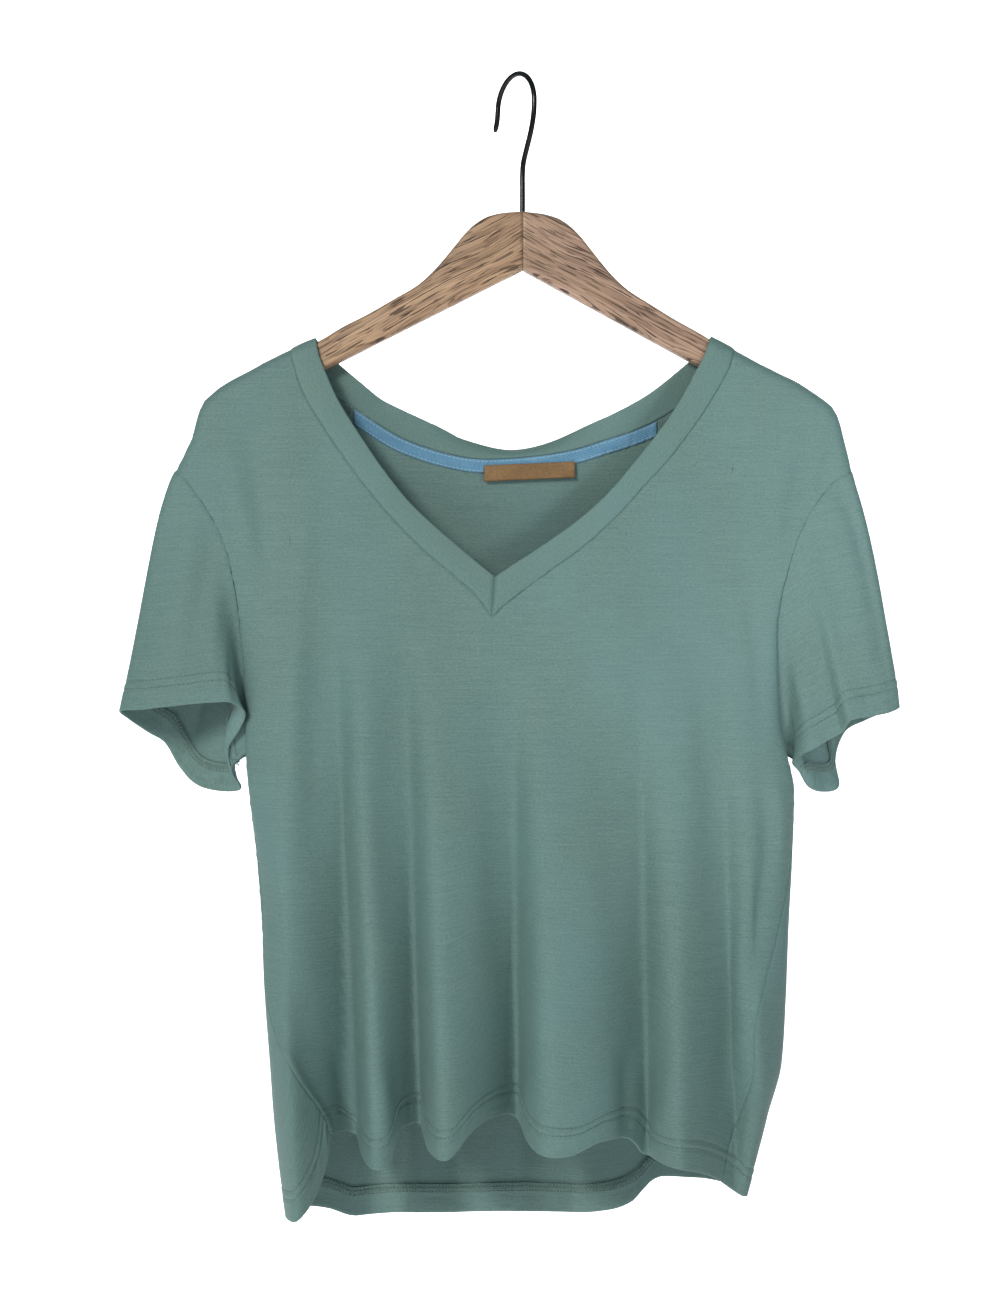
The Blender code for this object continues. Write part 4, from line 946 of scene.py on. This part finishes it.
def dress_arm(name, hand, material):
    """Half of the hanger, lofted finely, with the grain's direction as its UVs."""
    end = HANGER_ROWS[-1][0]
    out = np.concatenate((np.linspace(0, ARM_TIP - 1, 90), np.linspace(ARM_TIP, end, 12)))
    sections = []
    for x, top, bottom, thick in zip(out, *[smooth(HANGER_ROWS, out, k) for k in (1, 2, 3)]):
        x = hand * max(x, MITRE_GAP / 2)
        section = hanger_section(top, bottom, HANGER_THICKNESS / 2 * thick)
        sections.append([(x, y, z - HANGER_TILT * x) for y, z in section])
    grid = np.array(sections)
    run, rise = math.cos(HANGER_SLOPE), math.sin(HANGER_SLOPE)
    away, height = np.abs(grid[..., 0]), grid[..., 2]
    ends = np.stack((away * run - height * rise, away * rise + height * run), axis=-1) * MM
    sides = ends + np.stack((0 * away, 0.6 * grid[..., 1] * MM), axis=-1)
    bm = bmesh.new()
    layer = bm.loops.layers.uv.new("grain")
    verts = [[bm.verts.new(Vector((p + OFFSET) * MM)) for p in ring] for ring in grid]
    count = len(verts[0])

    def add_face(places, uvs, smooth_face):
        face = bm.faces.new([verts[p][q] for p, q in places])
        face.smooth = smooth_face
        for loop, place in zip(face.loops, places):
            loop[layer].uv = uvs[place]

    for i in range(len(verts) - 1):
        for j in range(count):
            k = (j + 1) % count
            add_face(((i, j), (i, k), (i + 1, k), (i + 1, j)), sides, True)
    for i in (0, len(verts) - 1):
        add_face([(i, q) for q in range(count)], ends, False)
    bmesh.ops.recalc_face_normals(bm, faces=bm.faces)
    mesh = bpy.data.meshes.new(name)
    bm.to_mesh(mesh)
    bm.free()
    mesh.materials.append(material)
    return put(name, mesh)


def dress_hook():
    """The wire hook on a smooth path, with a rounded free end."""
    points = [(0.0, HANGER_ROWS[0][1] - HOOK_DEPTH + 0.3), (0.0, -85.0), (0.0, -72.0), (1.2, -63.0)]
    points += [(5.6, -53.0), (10.6, -42.0), (13.8, -31.0)]
    for turn in np.radians(np.arange(0.0, 181.0, 15.0)):
        points.append((HOOK_SHIFT + HOOK_RADIUS * math.cos(turn),
                       WIRE / 2 - HOOK_RADIUS + HOOK_RADIUS * math.sin(turn)))
    points += [(HOOK_SHIFT - HOOK_RADIUS - 1.0, -27.5), (HOOK_SHIFT - HOOK_RADIUS - 3.6, -34.5)]
    line = curve_through(points, 140)
    curve = bpy.data.curves.new("hook_wire", "CURVE")
    curve.dimensions = "3D"
    curve.bevel_depth = WIRE / 2 * MM
    curve.bevel_resolution = 5
    curve.use_fill_caps = True
    spline = curve.splines.new("POLY")
    spline.points.add(len(line) - 1)
    for k, (point, (along, z)) in enumerate(zip(spline.points, line)):
        x, y = along * math.cos(HOOK_TURN) + OFFSET[0], -along * math.sin(HOOK_TURN) + OFFSET[1]
        point.co = (x * MM, y * MM, z * MM, 1.0)
        point.radius = min(1.0, 0.62 + 0.2 * (len(line) - 1 - k))
    curve.materials.append(BLACK_WIRE)
    return put("hook_wire", curve)


def stitch_mesh(name, rows, thread, material):
    """Stitches as small rounded rods, from rows of (start, end, normal) in millimetres."""
    starts, ends, up = (np.array([row[k] for row in rows]) for k in range(3))
    along = ends - starts
    side = unit(np.cross(along, unit(up)))
    up = unit(np.cross(side, along))
    rings = ((0.0, 0.35, -0.25), (0.14, 0.9, 0.1), (0.5, 1.0, 0.35), (0.86, 0.9, 0.1), (1.0, 0.35, -0.25))
    verts = []
    for t, swell, lift in rings:
        centre = starts + along * t + up * lift * thread
        for a in np.radians(np.arange(0, 360, 60)):
            verts.append(centre + thread * swell * (side * math.cos(a) + up * math.sin(a)))
    count = len(verts)
    one = [(r + k, r + (k + 1) % 6, r + (k + 1) % 6 + 6, r + k + 6)
           for r in range(0, count - 6, 6) for k in range(6)]
    faces = (np.array(one)[None] + (np.arange(len(rows)) * count)[:, None, None]).reshape(-1, 4).tolist()
    for first in range(0, len(rows) * count, count):
        faces.append([first + k for k in range(5, -1, -1)])
        faces.append([first + count - 6 + k for k in range(6)])
    return put_mesh(name, (np.stack(verts, axis=1) + OFFSET) * MM, faces, material)


def line_at(data, distance):
    """A line across a grid at a distance from its hem, with the cloth's normals."""
    line, up = [], []
    for away, points, facing in zip(data["to_hem"], data["grid"], data["normal"]):
        line.append(points_at(points[::-1], away[::-1], distance))
        up.append(points_at(facing[::-1], away[::-1], distance))
    if data["closed"]:
        line.append(line[0])
        up.append(up[0])
    return np.array(line), unit(np.array(up))


def run_of(line, up, length, gap, lift):
    """Cut a line into stitches."""
    total = lengths(line)
    rows = []
    place = gap
    while place + length < total[-1]:
        facing = points_at(up, total, place + length / 2)
        start, end = points_at(line, total, np.array((place, place + length))) + facing * lift
        rows.append((start, end, facing))
        place += length + gap
    return rows


def zigzag_of(line, up, half, pitch, lift):
    """Looper threads of a coverstitch or an overlock: rods that swing from side to side."""
    total = lengths(line)
    count = int(total[-1] / pitch)
    places = np.linspace(0, total[-1], count)
    centre, facing = points_at(line, total, places), unit(points_at(up, total, places))
    side = unit(np.cross(np.gradient(centre, axis=0), facing))
    swing = np.where(np.arange(count) % 2 == 0, half, -half)[:, None]
    points = centre + side * swing + facing * lift
    return list(zip(points[:-1], points[1:], facing[:-1]))


class Look:
    """A material's node tree, with short calls for the nodes that the materials share."""

    def __init__(self, name):
        self.material = bpy.data.materials.new(name)
        self.material.use_nodes = True
        self.tree = self.material.node_tree

    def feed(self, socket, value):
        """Set a socket to a value, or link it to another node's output."""
        if isinstance(value, bpy.types.NodeSocket):
            self.tree.links.new(value, socket)
        else:
            socket.default_value = value

    def node(self, kind, inputs, **settings):
        """Add a node and return its outputs."""
        made = self.tree.nodes.new("ShaderNode" + kind)
        for key, value in settings.items():
            setattr(made, key, value)
        for key, value in inputs.items():
            self.feed(made.inputs[key], value)
        return made.outputs

    def cloth(self, name="cloth"):
        return self.node("UVMap", {}, uv_map=name)["UV"]

    def place(self):
        return self.node("TexCoord", {})["Object"]

    def noise(self, vector, scale, detail=2.0, rough=0.5):
        """Noise with a number of waves to the metre along x, y and z."""
        stretched = self.node("Mapping", {"Vector": vector, "Scale": (*scale, 1.0)[:3]})["Vector"]
        inputs = {"Vector": stretched, "Scale": 1.0, "Detail": detail, "Roughness": rough}
        return self.node("TexNoise", inputs)["Fac"]

    def wave(self, vector, scale, direction="X", distort=0.0, detail=0.0, detail_scale=1.0):
        inputs = {"Vector": vector, "Scale": scale, "Distortion": distort, "Detail": detail,
                  "Detail Scale": detail_scale}
        return self.node("TexWave", inputs, bands_direction=direction)["Fac"]

    def math(self, operation, a, b):
        return self.node("Math", {0: a, 1: b}, operation=operation)[0]

    def add(self, total, *others):
        for other in others:
            total = self.math("ADD", total, other)
        return total

    def times(self, a, b):
        return self.math("MULTIPLY", a, b)

    def between(self, value, low, high, out_low=0.0, out_high=1.0):
        inputs = {"Value": value, "From Min": low, "From Max": high, "To Min": out_low, "To Max": out_high}
        return self.node("MapRange", inputs)["Result"]

    def mix(self, factor, a, b):
        return self.node("Mix", {0: factor, 6: a, 7: b}, data_type="RGBA")[2]

    def bump(self, height, distance, strength, **under):
        """A bumped normal, on top of the one given as Normal."""
        inputs = {"Height": height, "Distance": distance, "Strength": strength, **under}
        return self.node("Bump", inputs)["Normal"]

    def done(self, colour, roughness, **sockets):
        shader = self.tree.nodes["Principled BSDF"]
        for name, value in {"Base_Color": colour, "Roughness": roughness, **sockets}.items():
            self.feed(shader.inputs[name.replace("_", " ")], value)
        return self.material


def linear(*screen):
    """A colour given as it looks on a screen, 0 to 255, in Blender's linear values."""
    return tuple(((c / 255 + 0.055) / 1.055) ** 2.4 if c > 10 else c / 3294 for c in screen) + (1.0,)


def jersey(name, slub, lit, deep):
    """Slub jersey: thick and thin yarn runs across the cloth, over fine knit columns."""
    look = Look(name)
    uv = look.cloth()
    streak = look.noise(uv, (105, 950), 3.0, 0.6)
    long_streak = look.noise(uv, (22, 700))
    broad = look.noise(uv, (7, 5), 3.0)
    cool = look.noise(uv, (11, 6))
    mottle = look.noise(uv, (520, 900), 2.0, 0.7)
    fuzz = look.noise(uv, (1500, 2200), 1.0)
    tone = look.add(look.between(streak, 0.3, 0.7, -slub, slub), look.between(broad, 0.3, 0.7, -0.12, 0.12),
                    look.between(long_streak, 0.35, 0.65, -slub * 0.5, slub * 0.5),
                    look.between(mottle, 0.3, 0.7, -0.34, 0.34),
                    look.between(fuzz, 0.2, 0.8, -0.12, 0.12), 0.5)
    colour = look.mix(tone, deep, lit)
    colour = look.mix(look.between(cool, 0.4, 0.7, 0.0, 0.2), colour, linear(92, 132, 140))
    normal = look.bump(look.wave(uv, 420.0, "X", 1.2, 1.0, 3.0), 0.00008, 0.35)
    height = look.add(look.times(streak, 0.55), look.times(fuzz, 0.35), look.times(mottle, 0.3))
    normal = look.bump(height, 0.0005, 0.8, Normal=normal)
    return look.done(colour, look.between(streak, 0.3, 0.7, 0.56, 0.70), Normal=normal, Sheen_Weight=0.06,
                     Sheen_Roughness=0.35, Sheen_Tint=(0.75, 0.90, 0.93, 1.0), Specular_IOR_Level=0.35)


def twill_tape():
    """Herringbone-like twill: fine diagonal ribs along the tape."""
    look = Look("tape_twill")
    uv = look.cloth()
    turned = look.node("Mapping", {"Vector": uv, "Rotation": (0.0, 0.0, 0.9)})["Vector"]
    ribs = look.wave(turned, 250.0, "X", 0.4, 1.0, 4.0)
    yarn = look.noise(uv, (900, 260), 2.0, 0.6)
    wear = look.noise(uv, (60, 160))
    tone = look.add(look.between(ribs, 0.0, 1.0, 0.2, 0.75), look.between(yarn, 0.25, 0.75, -0.15, 0.15),
                    look.between(wear, 0.3, 0.7, -0.12, 0.12))
    colour = look.mix(tone, linear(66, 108, 140), linear(112, 156, 184))
    normal = look.bump(ribs, 0.00025, 0.8)
    return look.done(colour, 0.78, Normal=normal, Sheen_Weight=0.12, Specular_IOR_Level=0.3)


def kraft_label():
    """Soft brown label cloth: pressed fibres with a fine weave."""
    look = Look("label_kraft")
    uv = look.cloth()
    fibre = look.noise(uv, (420, 900), 4.0, 0.65)
    weave = look.times(look.wave(uv, 520.0, "X"), look.wave(uv, 520.0, "Y"))
    shade = look.noise(uv, (45, 70))
    tone = look.add(look.between(fibre, 0.3, 0.7, 0.15, 0.75), look.between(shade, 0.3, 0.7, -0.2, 0.2))
    colour = look.mix(tone, linear(98, 74, 48), linear(142, 110, 74))
    normal = look.bump(look.add(weave, fibre), 0.00018, 0.6)
    return look.done(colour, 0.72, Normal=normal, Specular_IOR_Level=0.35)


def oak(name, pale, dark, side):
    """Stained oak: open dark pores and broad flame grain along the arm."""
    look = Look(name)
    uv = look.cloth("grain")
    warp = look.times(look.noise(uv, (7, 14)), 0.03)
    shifted = look.node("CombineXYZ", {"X": side, "Y": warp})[0]
    bent = look.node("VectorMath", {0: uv, 1: shifted}, operation="ADD")[0]
    rings = look.noise(bent, (4, 190), 3.0, 0.6)
    edges = look.math("PINGPONG", look.times(rings, 9.0), 0.5)
    fine = look.noise(bent, (16, 1100), 3.0, 0.7)
    pores = look.between(look.noise(bent, (48, 820), 1.5), 0.385, 0.42)
    blotch = look.noise(uv, (18, 45))
    colour = look.mix(look.between(rings, 0.40, 0.60, 0.35, 1.0), dark, pale)
    colour = look.mix(look.between(fine, 0.34, 0.52, 0.3, 1.0), dark, colour)
    colour = look.mix(look.between(edges, 0.02, 0.15, 0.3, 1.0), linear(70, 46, 32), colour)
    colour = look.mix(pores, linear(48, 30, 22), colour)
    colour = look.mix(look.between(blotch, 0.35, 0.75, 0.0, 0.25), colour, linear(206, 170, 138))
    normal = look.bump(look.add(look.times(pores, 0.7), look.times(fine, 0.3)), 0.0006, 0.8)
    rough = look.between(pores, 0.0, 1.0, 0.62, 0.46)
    return look.done(colour, rough, Normal=normal, Specular_IOR_Level=0.45)


def black_wire():
    """Black plated wire, polished, with faint handling marks."""
    look = Look("hook_black_wire")
    place = look.place()
    marks = look.noise(place, (260, 260, 700), 3.0, 0.6)
    cloud = look.noise(place, (60, 60, 60))
    colour = look.mix(cloud, (0.010, 0.010, 0.012, 1.0), (0.030, 0.030, 0.034, 1.0))
    normal = look.bump(marks, 0.00003, 0.4)
    rough = look.between(marks, 0.3, 0.75, 0.14, 0.30)
    return look.done(colour, rough, Normal=normal, Metallic=0.85, Specular_IOR_Level=0.6)


def thread(name, colour_a, colour_b):
    """Twisted sewing thread."""
    look = Look(name)
    twist = look.noise(look.place(), (2600, 2600, 2600), 2.0, 0.6)
    return look.done(look.mix(twist, colour_a, colour_b), 0.55, Normal=look.bump(twist, 0.0001, 0.5),
                     Sheen_Weight=0.2, Specular_IOR_Level=0.4)


JERSEY = jersey("jersey_sage", 0.22, linear(101, 127, 122), linear(77, 103, 101))
BAND = jersey("jersey_band", 0.08, linear(98, 124, 119), linear(78, 104, 101))
TAPE = twill_tape()
KRAFT = kraft_label()
OAK_LEFT = oak("oak_left", linear(166, 134, 106), linear(104, 76, 54), 0.0)
OAK_RIGHT = oak("oak_right", linear(170, 140, 122), linear(104, 78, 64), 0.31)
BLACK_WIRE = black_wire()
# The needle-row thread is darker than the cloth: painted shade of the small puckers along the hem's stitch
# rows.
THREAD_PAINTED_SHADE = thread("thread_sage", linear(52, 74, 70), linear(92, 118, 110))
THREAD_DARK = thread("thread_sage_dark", linear(48, 72, 68), linear(124, 152, 144))
THREAD_BLUE = thread("thread_light_blue", linear(120, 166, 180), linear(170, 204, 212))

# Creases placed one by one, as seen from the front. Columns: half width, out, then points (x, z).
# A trough has minus out. They lie on top of the soft folds of the body.
FRONT_CREASES = (
    (9, 2.6, (-150, -300), (-158, -380), (-163, -460), (-165, -560)),
    (9, -1.6, (-138, -390), (-146, -470), (-146, -560)),
    (9, 1.2, (-110, -430), (-118, -500), (-116, -600)),
    (9, -1.4, (-90, -430), (-96, -520), (-94, -620)),
    (10, -1.3, (-20, -420), (-22, -500), (-20, -640)),
    (10, -1.2, (50, -420), (60, -520), (64, -640)),
    (9, -1.4, (118, -390), (128, -480), (132, -600)),
    (7, -1.8, (150, -330), (164, -400), (168, -480)),
    (6, -1.6, (-196, -250), (-186, -300), (-180, -370)),
    (6, 1.3, (-212, -262), (-200, -310), (-190, -360)),
    (5, 1.2, (196, -246), (184, -290), (176, -350)),
    (5, -1.3, (206, -252), (196, -288), (186, -330)),
    (5, 1.4, (216, -250), (208, -280), (198, -306)),
    (4, -1.2, (222, -258), (214, -284), (205, -300)),
    (13, -3.4, (-186, -500), (-178, -600), (-150, -700), (-126, -765)),
    (6, 2.2, (178, -500), (182, -535), (176, -580)),
    (6, -2.4, (168, -500), (172, -560), (166, -620)),
    (6, 2.6, (152, -600), (153, -680), (146, -740)),
    (6, -3, (168, -560), (163, -625), (158, -660)),
    (6, -3, (-132, -690), (-126, -730), (-122, -768)),
    (7, 2.6, (-104, -690), (-98, -730), (-96, -765)),
    (6, -2.4, (72, -690), (72, -730), (73, -765)),
    (7, 2, (100, -700), (98, -740), (96, -775)),
    (5, -1.4, (60, -500), (90, -512), (118, -508)),
)
BACK_CREASES = (
    (11, -2.6, (-120, -330), (-112, -450), (-104, -600)),
    (11, 2.4, (-70, -340), (-62, -470), (-58, -640)),
    (12, -2.8, (-10, -330), (-6, -480), (-4, -660)),
    (11, 2.4, (50, -330), (46, -470), (44, -620)),
    (11, -2.4, (110, -320), (100, -450), (92, -600)),
    (8, 2, (-160, -300), (-158, -400), (-152, -520)),
    (8, -2, (160, -300), (158, -400), (150, -520)),
    (6, 1.6, (205, -250), (190, -290), (178, -340)),
    (6, -1.6, (-212, -252), (-196, -300), (-184, -350)),
    (7, -2.4, (-90, -720), (-86, -770), (-84, -815)),
    (7, 2.2, (-50, -730), (-46, -775), (-44, -818)),
    (7, -2.2, (44, -700), (42, -750), (40, -800)),
    (6, 1.6, (-130, -560), (-90, -590), (-60, -592)),
    (6, -1.6, (70, -500), (100, -520), (130, -514)),
)
# Columns: half width, out, turn and length at the start, turn and length at the end
LEFT_SLEEVE_CREASES = (
    (7, 0.9, 0.10, 0, 0.12, 120), (6, -0.8, 0.16, 10, 0.17, 150), (8, 0.8, 0.22, 20, 0.23, 170),
    (6, -1.4, 0.30, 30, 0.29, 150), (7, 1.2, 0.36, 40, 0.34, 140), (8, -1.6, 0.62, 20, 0.64, 150),
    (8, 1.5, 0.72, 10, 0.73, 160), (7, -1.5, 0.82, 0, 0.83, 130), (6, 0.8, 0.92, 0, 0.91, 110),
)
RIGHT_SLEEVE_CREASES = (
    (6, 0.8, 0.08, 0, 0.09, 130), (5, -0.7, 0.13, 0, 0.15, 110), (8, 0.6, 0.19, 20, 0.20, 170),
    (7, -1.4, 0.26, 60, 0.25, 160), (7, 1.2, 0.33, 20, 0.31, 120), (8, -1.6, 0.62, 20, 0.63, 150),
    (8, 1.5, 0.72, 10, 0.74, 160), (7, -1.5, 0.82, 0, 0.83, 130), (6, 0.8, 0.91, 0, 0.92, 110),
)


def hem_threads(hem, data):
    """A hem's twin needle rows outside, and its coverstitch over the raw edge inside the garment."""
    rows = []
    for distance in HEM_STITCHES:
        rows += run_of(*line_at(data, distance), length=2.5, gap=0.6, lift=WALL / 2 + 0.02)
    # The needle rows use the thread that is darkened as painted shade of the puckers.
    needles = stitch_mesh(hem + "_stitches", rows, HEM_THREAD, THREAD_PAINTED_SHADE)
    line, up = line_at(data, sum(HEM_STITCHES) / 2)
    inner = line - up * (LAYER_STEP + WALL / 2 + 0.15)
    rows = zigzag_of(inner, -up, half=3.2, pitch=1.3, lift=0.05)
    side = unit(np.cross(np.gradient(inner, axis=0), -up))
    for shift in (-3.0, 0.0, 3.0):
        rows += run_of(inner + side * shift, -up, length=2.4, gap=0.5, lift=0.3)
    return [needles, stitch_mesh(hem + "_coverstitch", rows, HEM_THREAD, THREAD_DARK)]


def tape_stitches(grid):
    """Lockstitch near both edges of the neck tape."""
    rows = []
    for place in (0.86, 0.14):
        row = place * (grid.shape[1] - 1)
        low = int(row)
        line = grid[:, low] * (1 - row + low) + grid[:, low + 1] * (row - low)
        up = np.tile((0.0, -1.0, 0.0), (len(line), 1))
        rows += run_of(line, up, length=2.4, gap=0.6, lift=0.42)
    return stitch_mesh("neck_tape_stitches", rows, 0.22, THREAD_BLUE)


def overlock_ends():
    """Overlock threads where the back neck seam runs on past the ends of the tape."""
    rows = []
    for x_from, x_to in ((-160.0, TAPE_LEFT - 1.0), (TAPE_RIGHT + 1.0, 146.0)):
        x = np.linspace(x_from, x_to, 40)
        up = np.tile((0.0, -1.0, 0.0), (len(x), 1))
        rows += zigzag_of(inside_back(x, 3.4, 0.75), up, half=2.4, pitch=1.1, lift=0.1)
        rows += run_of(inside_back(x, 5.8, 0.8), up, length=2.3, gap=0.5, lift=0.1)
    return stitch_mesh("back_neck_overlock", rows, 0.3, THREAD_DARK)


def declare(piece, slot, *nodes):
    """Attach a piece to the root body and hide the solids that it stands for. Its slot is not used."""
    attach(piece, "root")
    if nodes:
        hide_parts(*nodes)


def make_camera():
    """A long lens a little over one and a half metres away, level with the middle of the shirt."""
    data = bpy.data.cameras.new("camera")
    data.sensor_fit = "VERTICAL"
    data.sensor_height = 36.0
    data.lens = 62.22
    camera = put("camera", data)
    camera.location = (-0.0178, -1.607, -0.4096)
    camera.rotation_euler = (math.radians(90), 0.0, 0.0)
    bpy.context.scene.camera = camera


def make_stage():
    """A pale floor that curves up into a pale wall behind the shirt."""
    floor, wall, radius, half, front_edge, wall_top = -1.35, 3.6, 0.5, 3.5, -3.5, 2.4
    profile = [(front_edge, floor), (wall - radius, floor)]
    for turn in np.radians(np.arange(10, 91, 10)):
        profile.append((wall - radius + radius * math.sin(turn), floor + radius * (1 - math.cos(turn))))
    profile.append((wall, wall_top))
    faces = [(2 * k, 2 * k + 1, 2 * k + 3, 2 * k + 2) for k in range(len(profile) - 1)]
    look = Look("backdrop_white")
    cloud = look.noise(look.place(), (1.5, 1.5, 1.5))
    white = look.done(look.mix(cloud, (0.86, 0.86, 0.86, 1.0), (0.8342, 0.8342, 0.8342, 1.0)), 0.9,
                      Emission_Color=(1.0, 1.0, 1.0, 1.0), Emission_Strength=0.6)
    put_mesh("backdrop", [(x, y, z) for y, z in profile for x in (-half, half)], faces, white)


def make_light(name, place, aim, size, power, colour=(1.0, 1.0, 1.0), spread=180.0):
    data = bpy.data.lights.new(name, "AREA")
    data.spread = math.radians(spread)
    data.shape = "RECTANGLE"
    data.size, data.size_y = size
    data.energy = power
    data.color = colour
    light = put(name, data)
    light.location = place
    light.rotation_euler = (Vector(aim) - Vector(place)).to_track_quat("-Z", "Y").to_euler()


def make_lights():
    """A warm key from the left, a little light in the right sleeve, and cool light from all round."""
    make_light("key_left", (-1.25, -2.3, 0.7), (0.0, 0.0, -0.45), (0.6, 0.6), 58.0, (1.0, 0.97, 0.91))
    make_light("sleeve_fill", (0.85, -0.95, -0.25), (0.25, 0.0, -0.37), (0.25, 0.25), 0.3, spread=36.0)
    make_light("backdrop_wash", (0.0, 2.4, 1.6), (0.0, 3.6, -0.6), (3.5, 0.6), 80.0)
    world = bpy.data.worlds.new("studio")
    world.use_nodes = True
    background = world.node_tree.nodes["Background"]
    background.inputs["Color"].default_value = (0.78, 0.97, 1.0, 1.0)
    background.inputs["Strength"].default_value = 0.31
    bpy.context.scene.world = world
    bpy.context.scene.view_settings.view_transform = "Standard"


make_camera()
make_stage()
make_lights()

SEAM_HEMS = tuple(hem_line(FRONT)[1][[0, -1]])
front, front_data = dress_panel("front_cloth", FRONT, FRONT_CREASES)
back, back_data = dress_panel("back_cloth", BACK, BACK_CREASES)
panels = (front_data, back_data)
sleeve_left, left_data = dress_sleeve("sleeve_left_cloth", *panels, CUFF_LEFT, BULGE_LEFT, -1,
                                      LEFT_SLEEVE_CREASES)
sleeve_right, right_data = dress_sleeve("sleeve_right_cloth", *panels, CUFF_RIGHT, BULGE_RIGHT, 1,
                                        RIGHT_SLEEVE_CREASES)
neckband = dress_neckband()
tape, tape_grid = dress_tape()
label = dress_label()
arm_left = dress_arm("arm_left_oak", -1, OAK_LEFT)
arm_right = dress_arm("arm_right_oak", 1, OAK_RIGHT)
hook = dress_hook()

declare(front, "jersey", "front_panel")
declare(back, "jersey", "back_panel")
declare(sleeve_left, "jersey", "sleeve_left")
declare(sleeve_right, "jersey", "sleeve_right")
declare(neckband, "jersey", "neckband")
declare(tape, "tape", "neck_tape")
declare(label, "kraft", "neck_label")
declare(arm_left, "oak", "hanger_arm_left")
declare(arm_right, "oak", "hanger_arm_right")
declare(hook, "wire", "hanger_hook")

front_threads = hem_threads("front_hem", front_data)
back_threads = hem_threads("back_hem", back_data)
left_threads = hem_threads("left_cuff", left_data)
right_threads = hem_threads("right_cuff", right_data)
tape_thread = tape_stitches(tape_grid)
neck_thread = overlock_ends()
for piece in front_threads + back_threads + left_threads + right_threads + [neck_thread]:
    declare(piece, "jersey")
declare(tape_thread, "tape")
